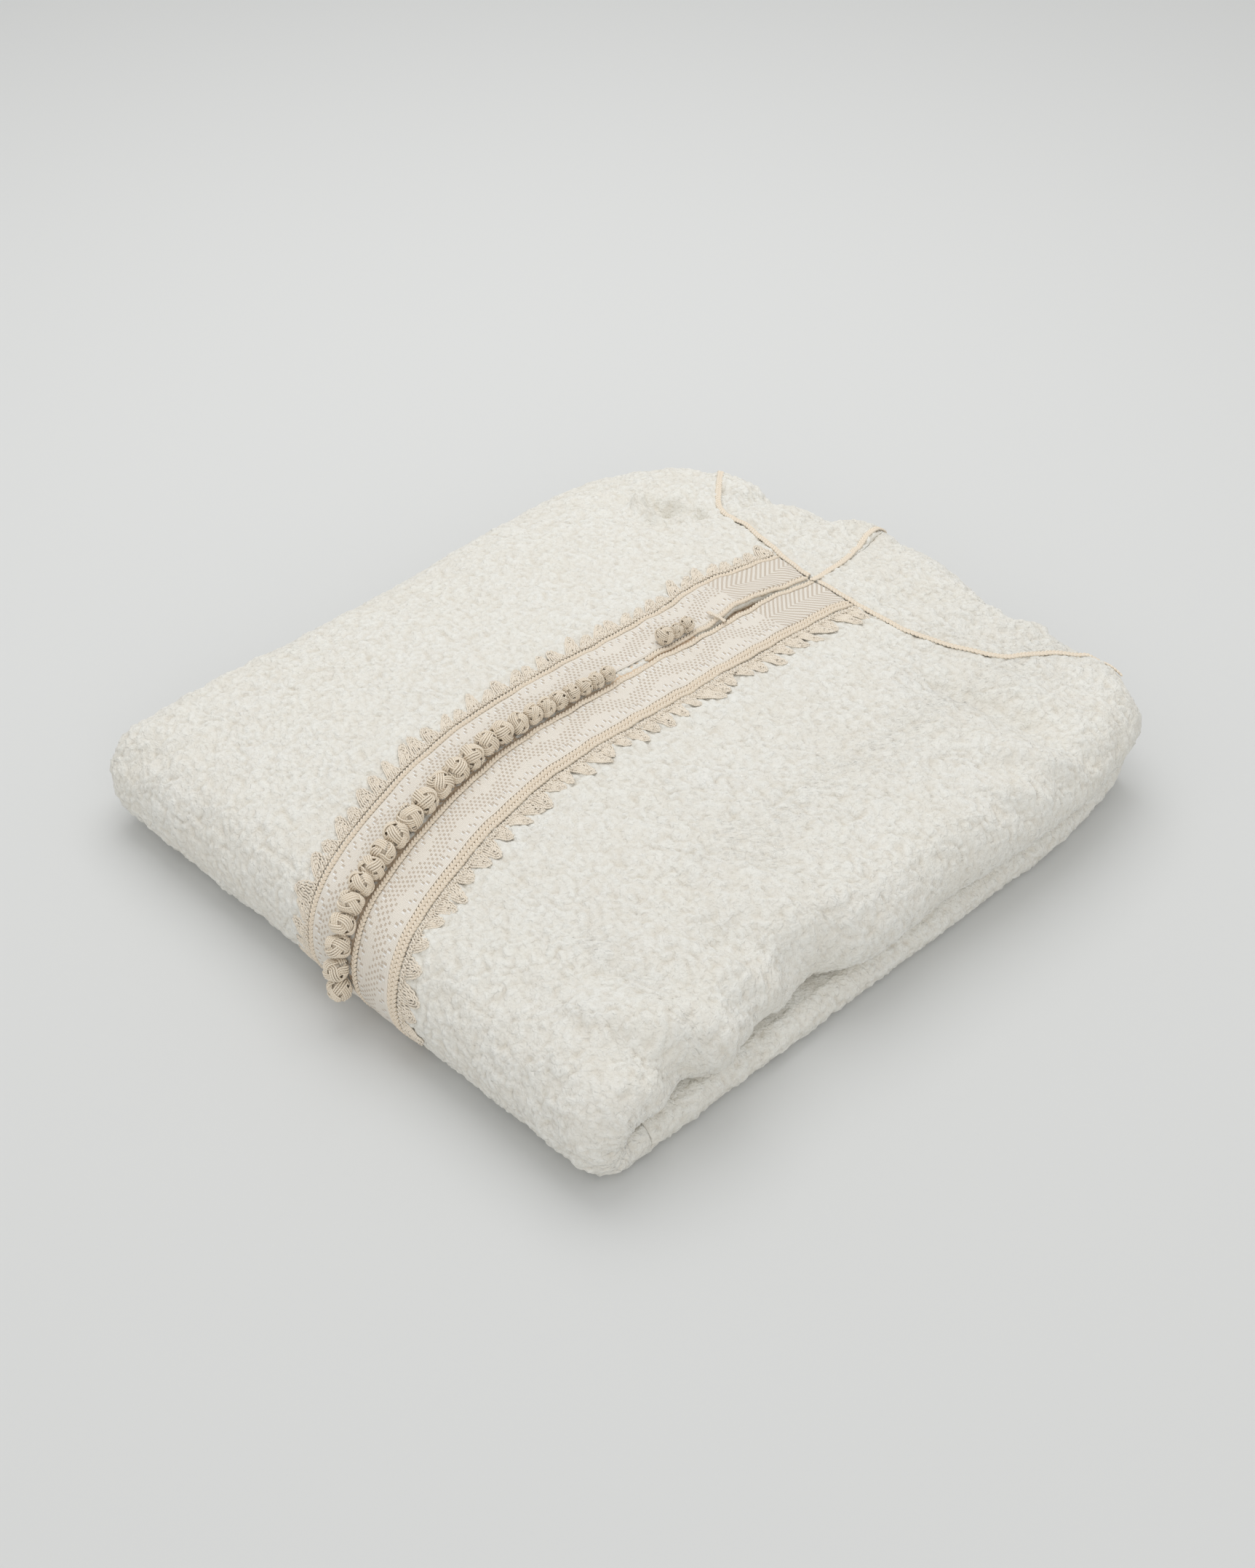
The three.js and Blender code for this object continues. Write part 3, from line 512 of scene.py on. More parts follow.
class Wire:
    """A socket in a material. Arithmetic on it adds Math nodes."""

    def __init__(self, finish, socket):
        self.finish, self.socket = finish, socket

    def math(self, operation, *values):
        sockets = dict(enumerate(values))
        return self.finish.node("ShaderNodeMath", {"operation": operation}, sockets)["Value"]

    def __add__(self, other):
        return self.math("ADD", self, other)

    def __sub__(self, other):
        return self.math("SUBTRACT", self, other)

    def __rsub__(self, other):
        return self.math("SUBTRACT", other, self)

    def __mul__(self, other):
        return self.math("MULTIPLY", self, other)

    def __truediv__(self, other):
        return self.math("DIVIDE", self, other)

    def __rtruediv__(self, other):
        return self.math("DIVIDE", other, self)

    def __gt__(self, other):
        return self.math("GREATER_THAN", self, other)

    def __lt__(self, other):
        return self.math("LESS_THAN", self, other)

    def __abs__(self):
        return self.math("ABSOLUTE", self)

    __radd__ = __add__
    __rmul__ = __mul__

    def cell(self):
        return self.math("FLOOR", self)

    def part(self):
        return self.math("FRACT", self)

    def sine(self):
        return self.math("SINE", self)

    def most(self, other):
        return self.math("MAXIMUM", self, other)

    def least(self, other):
        return self.math("MINIMUM", self, other)


class Finish:
    """One material: a Principled surface and the nodes that feed it."""

    MIX_COLOURS = (6, 7)  # the Mix node's two colour sockets

    def __init__(self, name, roughness, specular, sheen=0.0):
        self.material = bpy.data.materials.new(name)
        self.material.use_nodes = True
        self.tree = self.material.node_tree
        self.surface = self.tree.nodes["Principled BSDF"]
        self.surface.inputs["Roughness"].default_value = roughness
        self.surface.inputs["Specular IOR Level"].default_value = specular
        self.surface.inputs["Sheen Weight"].default_value = sheen

    def node(self, kind, settings=None, sockets=None):
        """Adds a node: its settings first, then the values or links of its sockets."""
        added = self.tree.nodes.new(kind)
        for key, value in (settings or {}).items():
            setattr(added, key, value)
        for key, value in (sockets or {}).items():
            if isinstance(value, Wire):
                self.tree.links.new(value.socket, added.inputs[key])
            elif value is not None:
                added.inputs[key].default_value = value
        return {out.name: Wire(self, out) for out in added.outputs if out.enabled}

    def blend(self, factor, one, other):
        """One colour going over into another as the factor goes from 0 to 1."""
        pair = (value if isinstance(value, Wire) else (*value, 1) for value in (one, other))
        sockets = dict(zip((0, *self.MIX_COLOURS), (factor, *pair)))
        return self.node("ShaderNodeMix", {"data_type": "RGBA"}, sockets)["Result"]

    def place(self):
        """Object coordinates in millimetres."""
        spot = self.node("ShaderNodeTexCoord")["Object"]
        return self.vector("MULTIPLY", spot, (1000.0, 1000.0, 1000.0))

    def vector(self, operation, *values):
        settings = {"operation": operation}
        return self.node("ShaderNodeVectorMath", settings, dict(enumerate(values)))["Vector"]

    def noise(self, scale, detail=2.0, vector=None, rough=0.5):
        sockets = {"Vector": vector or self.place(), "Scale": scale, "Detail": detail, "Roughness": rough}
        return self.node("ShaderNodeTexNoise", {}, sockets)["Fac"]

    def dome(self, scale, vector):
        """Rounded bumps, 1 at their tops and falling to 0 between them."""
        sockets = {"Vector": vector, "Scale": scale, "Smoothness": 0.6}
        away = self.node("ShaderNodeTexVoronoi", {"feature": "SMOOTH_F1"}, sockets)["Distance"]
        return (1.0 - away * away * 1.6).most(0.0)

    def thread_place(self):
        """The two UV coordinates: a distance across or an angle round, and a distance along, in mm."""
        spot = self.node("ShaderNodeUVMap", {"uv_map": "thread"})["UV"]
        split = self.node("ShaderNodeSeparateXYZ", {}, {"Vector": spot})
        return split["X"], split["Y"]

    def pile(self):
        """Height of the curls, which the mesh carries at its points."""
        return self.node("ShaderNodeAttribute", {"attribute_name": "pile"})["Fac"]

    def paint(self, colour):
        self.tree.links.new(colour.socket, self.surface.inputs["Base Color"])

    def gloss(self, value):
        self.tree.links.new(value.socket, self.surface.inputs["Roughness"])

    def relief(self, height, depth_mm, strength=1.0, over=None):
        """Normal bent by a height from 0 to 1, over another normal where one is given."""
        sockets = {"Height": height, "Distance": depth_mm / 1000, "Strength": strength, "Normal": over}
        return self.node("ShaderNodeBump", {}, sockets)["Normal"]

    def shape(self, normal):
        """Bends the surface by a normal and gives the finished material."""
        self.tree.links.new(normal.socket, self.surface.inputs["Normal"])
        return self.material


def curly_cloth(name, pale, crevice_shade):
    """Matt curly cloth: round fluffy curls of two sizes, with painted shade, warmer and darker, in the
    crevices between them.
    """
    finish = Finish(name, 0.95, 0.12, sheen=0.15)
    pile = finish.pile()
    spot = finish.place()
    stir = finish.node("ShaderNodeTexNoise", {}, {"Vector": spot, "Scale": 0.4, "Detail": 1.0})["Color"]
    warped = finish.vector("MULTIPLY_ADD", stir, (2.0, 2.0, 2.0), spot)
    crimp = finish.dome(0.5, warped) * 0.6 + finish.dome(1.1, warped) * 0.4
    fibres = finish.noise(2.2, 3, spot, 0.6)
    height = crimp * 0.8 + fibres * 0.2
    # Painted shade: where the pile and the crimp are low, the colour goes over into the crevice shade.
    deep = (1.05 - pile * 0.95 - crimp * 0.35).most(0.0).least(1.0)
    patches = finish.noise(0.035, 2, spot)
    warmer = tuple(np.array(pale) * (1.0, 0.985, 0.95))
    finish.paint(finish.blend(deep, finish.blend(patches, pale, warmer), crevice_shade))
    return finish.shape(finish.relief(height, 0.9, 0.8))


def woven_braid(name, ground, shadow, dash_highlight):
    """Satin ground with lengthwise ribs, dashes near both edges and chevrons of small dots. Shade is
    painted between the ribs, in the dots and chevrons and beside the dashes, and a highlight is painted on
    the dashes.
    """
    finish = Finish(name, 0.4, 0.5, sheen=0.08)
    u, v = finish.thread_place()
    # Pitches in mm, and the column in the middle of the braid, counted from its outer edge.
    rib, pick, dash_pitch, vee_pitch, wander = 0.62, 0.5, 4.1, 2.5, 37.0
    column_width, middle, chevrons_from = 1.56, 5.5, 62.0
    dash_share, dot_share = 0.17, 0.42  # of their pitches
    ribs = (u * (2 * math.pi / rib)).sine() * 0.5 + 0.5
    picks = (v * (2 * math.pi / pick)).sine() * 0.5 + 0.5
    column = (u / column_width).cell()
    in_column = (u / column_width).part()
    off_middle = abs(column - middle)
    near_neck = v > chevrons_from
    below = 1.0 - near_neck
    # Small dots in a band that drifts from side to side.
    dot_phase = (v * 2 / dash_pitch - column * 0.5).part()
    drift = (abs((v / wander).part() - 0.5) - 0.25) * 9.0
    band = abs(column - middle - drift)
    square = (in_column > 0.2) * (in_column < 0.82)
    small_dots = (dot_phase < dot_share) * square * (band < 2.3) * below
    # Chevrons near the neck.
    chevron = (v / vee_pitch - abs(u / column_width - middle - 0.5) * 0.6).part()
    vees = (chevron < dot_share) * near_neck
    # Dashes near both edges, painted pale as a highlight on the raised floats, each with a painted shadow
    # beside it.
    phase = (v / dash_pitch - off_middle * 0.31).part()
    dash_zone = (off_middle > 3.2) * (off_middle < 4.9) * below
    dashes = (phase < dash_share) * dash_zone
    dash_shadows = (phase > dash_share) * (phase < 2 * dash_share) * dash_zone
    # Painted shade: the dots and chevrons of the pattern are painted dark as the shade in their hollows,
    # and each dash has a painted shadow.
    dark = (small_dots * (off_middle < 3.8)).most(dash_shadows).most(vees * 0.9)
    # Painted shade between the satin ribs, stronger in uneven patches of noise.
    uneven_rib_shade = finish.noise(0.12, 3)
    cloth = finish.blend(ribs * (0.16 + uneven_rib_shade * 0.3), ground, shadow)
    toned = finish.blend(dark * 0.95, cloth, shadow)
    # Painted highlight: the dashes of the pattern take the pale highlight colour.
    finish.paint(finish.blend(dashes * 0.9, toned, dash_highlight))
    finish.gloss(0.36 + dark * 0.4 + finish.noise(0.6, 2) * 0.14)
    weave = finish.relief(ribs + picks * 0.3, 0.16, 0.8)
    return finish.shape(finish.relief(dashes - dark, 0.4, 1.0, weave))


def yarn(name, pale, deep, plies):
    """Twisted thread: pale strands with painted shade between the plies."""
    finish = Finish(name, 0.62, 0.35, sheen=0.15)
    angle, travel = finish.thread_place()
    twist = 7.0  # radians per mm
    strands = (angle * plies + travel * twist).sine() * 0.5 + 0.5
    aged = tuple(np.array(pale) * (0.94, 0.9, 0.84))
    tone = finish.blend(finish.noise(0.35, 3) * 0.7, pale, aged)
    # Painted shade: the grooves between the plies go over into the shade colour.
    finish.paint(finish.blend(0.55 - strands * 0.55, tone, deep))
    fibres = finish.relief(finish.noise(6.0, 3), 0.15, 0.4)
    return finish.shape(finish.relief(strands, 0.16, 0.7, fibres))


def plain_floor(name, colour):
    """Matt floor with a faint grain."""
    finish = Finish(name, 0.75, 0.25)
    grain = finish.noise(0.4, 4)
    finish.paint(finish.blend(grain * 0.2, colour, tuple(0.985 * c for c in colour)))
    return finish.shape(finish.relief(grain, 0.05, 0.2))


# ---- Settings -----------------------------------------------------------------------------------


def colour_property(name, description, default):
    """Colour that can be changed in the panel."""
    return bpy.props.FloatVectorProperty(
        name=name, description=description, default=default, subtype="COLOR", size=3, min=0, max=1
    )


def size_property(name, description, default):
    """Length in metres that can be changed in the panel."""
    return bpy.props.FloatProperty(
        name=name, description=description, default=default, min=0.0001, max=0.5, unit="LENGTH", precision=4
    )


class RobeCloth(bpy.types.PropertyGroup):
    """Size and colour of the curls, and the painted shade between them."""

    curl_size: size_property("Curl size", "Distance between the curls of the cloth", 0.0029)
    curl_height: size_property("Curl height", "How far the curls stand up", 0.0018)
    spacing: size_property("Mesh spacing", "Distance between the points of the cloth", 0.0009)
    pale: colour_property("Cloth", "Colour of the curls", (0.82, 0.815, 0.775))
    # Painted shade that fills the crevices between the curls.
    crevice_shade: colour_property("Crevices", "Colour between the curls", (0.7, 0.65, 0.56))


class RobeTrims(bpy.types.PropertyGroup):
    """Threads and colours of what is sewn on beside the slit."""

    ground: colour_property("Braid", "Colour of the satin ground", (0.88, 0.83, 0.745))
    ground_shade: colour_property("Braid shade", "Colour between the braid's threads", (0.6, 0.51, 0.41))
    # Painted highlight: the dashes are the braid's pattern, and their paler colour stands for the light
    # that the raised floats catch.
    dash: colour_property("Braid dashes", "Colour of the raised dashes", (0.95, 0.93, 0.89))
    cord: colour_property("Cords", "Colour of the cords", (0.92, 0.85, 0.735))
    cord_shade: colour_property("Cord shade", "Colour between the cords' strands", (0.72, 0.58, 0.43))
    loop: colour_property("Loops", "Colour of the looped trims", (0.92, 0.85, 0.74))
    loop_shade: colour_property("Loop shade", "Colour between the loops' strands", (0.8, 0.7, 0.57))
    knot: colour_property("Knots", "Colour of the knot buttons", (0.93, 0.86, 0.74))
    knot_shade: colour_property("Knot shade", "Colour between the knots' strands", (0.78, 0.62, 0.44))
    # Painted shade: colours of the cloth strips laid where the slit stands in shade.
    painted_shade_cloth: colour_property("Facing", "Colour of the facing in the slit", (0.84, 0.7, 0.55))
    slit_crevice_shade: colour_property("Facing shade", "Colour between the facing's curls", (0.6, 0.45, 0.31))
    thread: size_property("Loop thread", "Radius of the trims' thread", 0.00042)
    stitch: size_property("Stitch length", "Length of a stitch of the plaited cords", 0.0017)


class RobeStage(bpy.types.PropertyGroup):
    """Floor, camera and light."""

    floor: colour_property("Floor", "Colour of the floor", (0.675, 0.682, 0.675))
    camera_place: bpy.props.FloatVectorProperty(
        name="Camera place", description="Where the camera stands", default=(0.50651, -0.50333, 0.5749),
        subtype="TRANSLATION", unit="LENGTH",
    )
    camera_turn: bpy.props.FloatVectorProperty(
        name="Camera turn", description="Direction that the camera looks in",
        default=(math.radians(51.5), 0, math.radians(45.54)), subtype="EULER", unit="ROTATION",
    )
    lens: bpy.props.FloatProperty(
        name="Lens", description="Focal length on a 36 mm frame", default=50.09, min=1, unit="CAMERA"
    )
    sky: bpy.props.FloatProperty(
        name="Room light", description="Strength of the light from all round", default=0.69, min=0
    )
    lamp: bpy.props.FloatProperty(
        name="Lamps", description="Power that the two lamps go by", default=4.6, min=0, unit="POWER"
    )


# ---- Cloth pieces -------------------------------------------------------------------------------

# A place across and a place along depend on each other, so they are worked out again in rounds.
NECK_GUESS = 100.0
ROUNDS = {"front": 8, "hood": 6, "placket": 6}
MEAN_PILE = 0.45  # height of the curls that lies at the sheet's face
OVER_FLOOR = 0.02

# Rim of a shell: distance from the edge and depth under the face, from the inside outwards.
RIM = ((6.0, 3.0), (2.2, 3.0), (0.7, 2.7), (0.05, 1.9), (0.0, 1.1), (0.35, 0.4), (1.1, 0.0))
SEWN_RIM = ((6.0, 3.0), (2.2, 3.0), (0.2, 2.9), (0.0, 1.9), (0.0, 1.1), (0.02, 0.25), (0.3, 0.0))


def steps(length, *stretches):
    """Shares from 0 to 1 along a length, each stretch with its own spacing in mm."""
    shares, begin = [np.zeros(1)], 0.0
    for end, spacing in stretches:
        count = max(int((end - begin) * length / spacing), 2)
        shares.append(np.linspace(begin, end, count + 1)[1:])
        begin = end
    return np.concatenate(shares)


def with_rim(shares, first=RIM, last=RIM):
    """Places along one side of a shell: the share of the way, an inset in mm and a depth in mm."""
    low = [(0.0, inset, depth) for inset, depth in first]
    high = [(1.0, -inset, depth) for inset, depth in reversed(last)]
    inner = [(s, 0.0, 0.0) for s in shares[2:-2]]
    return np.array(low + inner + high).T


def front_place(side, u, v):
    """Place on a half of the front: u goes from the slit round the side, v up to the neck seam."""
    start = FOLD_END - UNDER_LAP
    along = mix(start, NECK_GUESS, v)
    across = np.zeros_like(along)
    for _ in range(ROUNDS["front"]):
        edge = across_at_turn(side, along, curve(SIDE_TURNS, along))
        slit = slit_at(along) + (GAP / 2 if side > 0 else -slit_gap(along))
        across = mix(slit, side * edge, u)
        along = mix(start, curve(NECK_SEAM, across), v)
    return across, along


def hood_place(side, u, v):
    """The hood starts along the neck seam and spreads from its centre seam over the back."""
    widest = HOOD_SHARE["right" if side > 0 else "left"]
    start, neck = front_place(side, u * widest, np.ones_like(u))
    low = neck + 2 * GAP
    seam_start = curve(HOOD_SEAM, curve(NECK_SEAM, slit_at(NECK_GUESS)))
    across, along = start, low
    for _ in range(ROUNDS["hood"]):
        along = mix(low, back_ridge(across) + HOOD_TUCK, v)
        across = start + (curve(HOOD_SEAM, along) - seam_start) * (1 - u) * v**0.5
    return across, along


def skirt_place(u, v):
    """Place on the skirt under the stack: u goes from left to right, v to the front fold."""
    along = mix(FOLD_END - SKIRT_END, FOLD_END - UNDER_LAP - GAP, v)
    left, right = (across_at_turn(side, along, SKIRT_TURN) for side in (-1, 1))
    return mix(-left, right, u), along


def cloth_shell(name, place, columns, rows, settings, material, rims=(RIM, RIM), seam=RIM, fluff=1.0):
    """Curly shell over one piece of the sheet, with a rounded rim that turns under."""
    u, u_in, u_deep = with_rim(columns, seam)
    v, v_in, v_deep = with_rim(rows, *rims)
    vv, uu = np.meshgrid(v, u, indexing="ij")
    across, along = place(uu, vv)
    way = 1.0 if across[0, -1] > across[0, 0] else -1.0
    across = across + way * u_in[None, :]
    along = along + v_in[:, None]
    deep = np.maximum(u_deep[None, :], v_deep[:, None])
    pile = curls(across, along, settings.curl_size * 1000)
    rise = (pile - MEAN_PILE) * settings.curl_height * 1000 * fluff
    inner_side = deep > 2.5
    points = on_sheet(across, along, np.where(inner_side, -deep, rise - deep))
    points[..., 2] = np.maximum(points[..., 2], OVER_FLOOR)
    faces = grid_quads(*across.shape)
    if way < 0:
        faces = faces[:, ::-1]
    uv = np.stack([across, along], -1)
    made = piece(f"{name}_dressed", points, faces, uv, material, [name], pile)
    du, dv = (np.diff(smooth_sheet(across, along) / 1000, axis=k) for k in (1, 0))
    return made


class ROBE_OT_sew_cloth(bpy.types.Operator):
    """Sew the two halves of the front, the skirt and the two halves of the hood"""

    bl_idname = "robe.sew_cloth"
    bl_label = "Sew the cloth"

    FRONT, SKIRT, HOOD = (200, 388), (326, 296), (125, 112)  # width and length of a piece, in mm

    def execute(self, context):
        settings = context.scene.robe_cloth
        cloth = curly_cloth("curly cloth", tuple(settings.pale), tuple(settings.crevice_shade))
        fine = settings.spacing * 1000 * 1
        # The points lie close together where the cloth shows and wider apart where it is hidden.
        width, length = self.FRONT
        columns = steps(width, (0.86, fine), (1, 2.4 * fine))
        rows = steps(length, (0.06, 3 * fine), (1, fine))
        for name, side in (("front_left", -1), ("front_right", 1)):
            place = partial(front_place, side)
            cloth_shell(name, place, columns, rows, settings, cloth, (SEWN_RIM, RIM))
        width, length = self.SKIRT
        columns = steps(width, (0.09, 1.2 * fine), (0.91, 6 * fine), (1, 1.2 * fine))
        rows = steps(length, (1, 1.6 * fine))
        cloth_shell("skirt", skirt_place, columns, rows, settings, cloth, (RIM, SEWN_RIM))
        width, length = self.HOOD
        columns = steps(width, (1, fine))
        rows = steps(length, (0.75, fine), (1, 3 * fine))
        for name, side in (("hood_left", -1), ("hood_right", 1)):
            place = partial(hood_place, side)
            cloth_shell(name, place, columns, rows, settings, cloth, seam=SEWN_RIM, fluff=1.35)
        return {"FINISHED"}


class ROBE_OT_fold_layers(bpy.types.Operator):
    """Fold the hidden layers, which show as rounded edges at the sides and the back"""

    bl_idname = "robe.fold_layers"
    bl_label = "Fold the inner layers"

    LOWEST_LAYER, HIGHEST_LAYER = FOLD_END - 290, 140.1  # the two ends of the stack at the back
    PILE = 0.8  # how far the curls stand up
    INSIDE = CLOTH + 1.2  # depth of the layers' edges under the cloth's outer face
    FOLD = {"wide": 5.0, "deep": 7.5, "high": 9.0, "under": CLOTH + 2.2}  # of a fold at the back
    # The rings that close the ends: how far they are drawn in and pushed out.
    END_SHRINK, END_BULGE = (0.985, 0.93, 0.6, 0.02), (0.1, 0.2, 0.2, 0.2)
    ROLLS, ROLL_SIDES = (0.3, 0.72), 30  # shares of the thickness where the rolled edges lie
    ROLL_ALONG = (-138, FOLD_END - 14)
    ROLL_RADIUS, ROLL_OUT = 0.2, 0.35  # radius for a thickness of 1, and how far out, for a radius of 1

    def execute(self, context):
        settings = context.scene.robe_cloth
        curl = settings.curl_size * 1000
        pale, crevice_shade = (np.array(colour) for colour in (settings.pale, settings.crevice_shade))
        # Painted shade: the inner layers are a slightly darker copy of the outer cloth, with deeper crevice
        # shade.
        layer = curly_cloth("inner layers", tuple(0.96 * pale), tuple(0.8 * crevice_shade))
        low, high = self.LOWEST_LAYER, self.HIGHEST_LAYER
        rolls = [self.roll(side, share, curl) for side in (-1, 1) for share in self.ROLLS]
        along = np.arange(low, high, 2.4)
        slab = self.slab(along, curl)
        folds = [self.back_folds(end, count, curl) for end, count in ((along[0], 2), (along[-1], 4))]
        points, faces, pile = joined([slab, *rolls, *folds])
        uv = np.stack([pile, pile], -1)
        made = piece("folded_layers_dressed", points, faces, uv, layer, ["folded_layers"], pile)
        return {"FINISHED"}

    def slab(self, along, curl):
        """The stack of hidden layers, with its ends drawn in."""
        across, points = (np.stack(each) for each in zip(*map(self.section, along)))
        pile = curls(across + points[..., 2], along[:, None] + points[..., 2] * 0.7, curl)
        centre = points.mean(1, keepdims=True)
        points = points + unit(points - centre) * ((pile - 0.5) * self.PILE)[..., None]
        shrink = np.array(self.END_SHRINK)[:, None, None]
        bulge = np.array(self.END_BULGE)[:, None, None] * np.array([0, 1.0, 0])
        first, last = (centre[row] + (points[row] - centre[row]) * shrink + bulge for row in (0, -1))
        points = np.concatenate([first[::-1], points, last])
        rings = len(shrink)
        pile = np.concatenate([pile[:1].repeat(rings, 0), pile, pile[-1:].repeat(rings, 0)])
        return points.reshape(-1, 3), grid_quads(*pile.shape, round_columns=True), pile.ravel()

    def back_folds(self, along, count, curl):
        """Rounded folds of the inner layers at the back, from side to side."""
        step = 1.1
        left, right = (float(across_at_turn(side, along, 0.0)) + self.FOLD["wide"] for side in (-1, 1))
        heights = np.linspace(0.0, 1.0, count * int(self.FOLD["high"] / step) + 1)
        x, share = np.meshgrid(np.arange(-left, right, step), heights, indexing="ij")
        lean = 0.08 * np.sin(x / 31.0) + 0.05 * np.sin(x / 13.0 + 2 * share)
        leaning = np.clip(share + lean * np.sin(math.pi * share), 0, 1)
        fold = np.abs(np.sin(math.pi * count * leaning)) ** 0.6
        side = np.clip(np.minimum(x + left, x.max() - x) / 12.0, 0, 1) ** 0.5
        pile = curls(x, share * 31 + along, curl)
        bottom, top = np.minimum(1, 14 * share), np.minimum(1, 14 * (1 - share))
        slack = 1.5 * np.sin(x / 23.0 + 9 * share)
        out = (self.FOLD["deep"] * fold + 1.2 * pile + slack) * side * bottom * top
        up = math.cos(float(fold_turn(along)))
        height = share * (self.thickness(x, along) - self.FOLD["under"])
        points = np.stack([x, back_of(along) + out, MIDDLE + up * (GAP + height)], -1)
        faces = grid_quads(*x.shape)
        return points.reshape(-1, 3), faces if up < 0 else faces[:, ::-1], pile.ravel()

    def roll(self, side, share, curl):
        """Rolled edge of an inner layer where it turns round the front fold."""
        along = np.linspace(*self.ROLL_ALONG, 110)
        across = across_at_turn(side, along, 0.0) * side
        radius = self.ROLL_RADIUS * stack_at(across, along)
        centres = smooth_sheet(across + side * self.ROLL_OUT * radius, along, share)
        index = np.arange(len(along))
        ends = np.minimum(1, np.minimum(index, index[::-1]) / 4) ** 0.5
        up = sheet_normal(across, along)
        points, faces, _ = tubes(centres[None], up[None], (radius * ends)[None], self.ROLL_SIDES)
        x, y, z = points.T
        pile = curls(y + z, x * 3 - z, curl)
        middle = np.repeat(centres, self.ROLL_SIDES, 0)
        return points + unit(points - middle) * ((pile - 0.5) * self.PILE)[:, None], faces, pile

    @staticmethod
    def thickness(x, along):
        """Thickness of the stack, which stays the same beyond the layers' half width."""
        return stack_at(np.clip(x, -LAYER_HALF_WIDTH, LAYER_HALF_WIDTH), along)

    def section(self, along):
        """Outline of the inner layers at one place, following the cloth round both sides."""
        turned = float(fold_turn(along))
        heights = np.linspace(0.03, 1, 34)
        turns = np.arccos(2 * heights - 1) / math.pi
        pleats = np.abs(np.sin(math.pi * 4 * heights))
        swell = (1 - np.abs(1 - 2 * heights) ** 3) ** (1 / 3) - 0.05 * pleats
        flat, side_x = [], []
        for side in (-1, 1):
            start, radius, length = side_fold(side > 0, along, stack_at(side * SIDE_STATION, along))
            dent = np.minimum(relief(side * (start + turns * length), along, CREASES + SOFT_CREASES), 0)
            flat.append(float(start))
            side_x.append(float(start) + (float(radius) - self.INSIDE + dent) * swell)
        top = np.linspace(-1, 1, 26)[1:-1]
        face = -top * np.where(top < 0, flat[1], flat[0])
        x = np.concatenate([side_x[1], face, -side_x[0][::-1]])
        share = np.concatenate([heights, np.ones(len(top)), heights[::-1]])
        reach = self.thickness(x, along) - self.INSIDE
        drop = relief(x, np.full_like(x, along), CREASES) * (share > 0.6)
        height = share * (reach + np.minimum(drop, 0) - 1.0)
        return x, over_spine(x, back_of(along), height, turned)


# ---- Placket ------------------------------------------------------------------------------------


def beside_slit(side, away, v, start=PLACKET_BOTTOM):
    """Place at a distance from the slit, a share v of the way up to the neck seam."""
    along = mix(start, NECK_GUESS, v)
    across = np.zeros_like(along)
    for _ in range(ROUNDS["placket"]):
        opened = slit_gap(along) - GAP / 2 if side < 0 else 0.0
        across = slit_at(along) + side * away - opened
        along = mix(start, curve(NECK_SEAM, across) - NECK_CLEAR, v)
    return across, along


class ROBE_OT_weave_braids(bpy.types.Operator):
    """Weave the two satin braids beside the slit"""

    bl_idname = "robe.weave_braids"
    bl_label = "Weave the braids"

    EDGE = 0.9  # width of the rounded edge
    SELVEDGE = ((0.15, 0.25), (0.0, 0.7), (0.3, 1.15))  # distance from the edge and height

    def execute(self, context):
        look = context.scene.robe_trims
        satin = woven_braid("woven braid", tuple(look.ground), tuple(look.ground_shade), tuple(look.dash))
        rows = np.linspace(0, 1, 480)
        for name, side in (("left", -1), ("right", 1)):
            near = BRAID[name]
            width = BRAID["outer"] - near
            # Across the braid: distance from its near edge and height over the cloth.
            spread = np.linspace(self.EDGE, width - self.EDGE, 30)
            crown = [(t, 1.25 + 0.12 * math.sin(math.pi * t / width)) for t in spread]
            far_edge = [(width - t, height) for t, height in reversed(self.SELVEDGE)]
            offset, height = np.array([*self.SELVEDGE, *crown, *far_edge]).T
            vv, away = np.meshgrid(rows, near + offset, indexing="ij")
            across, along = beside_slit(side, away, vv)
            waves = 0.25 * np.sin(along / 7.3) * np.sin(away / 5.0 + along / 19.0)
            points = on_sheet(across, along, GAP + height + waves * (height > 0.9))
            faces = grid_quads(*across.shape)[:, ::side]
            uv = np.stack([BRAID["outer"] - away, along], -1)
            made = piece(f"braid_{name}_dressed", points, faces, uv, satin, [f"braid_{name}"])
        return {"FINISHED"}


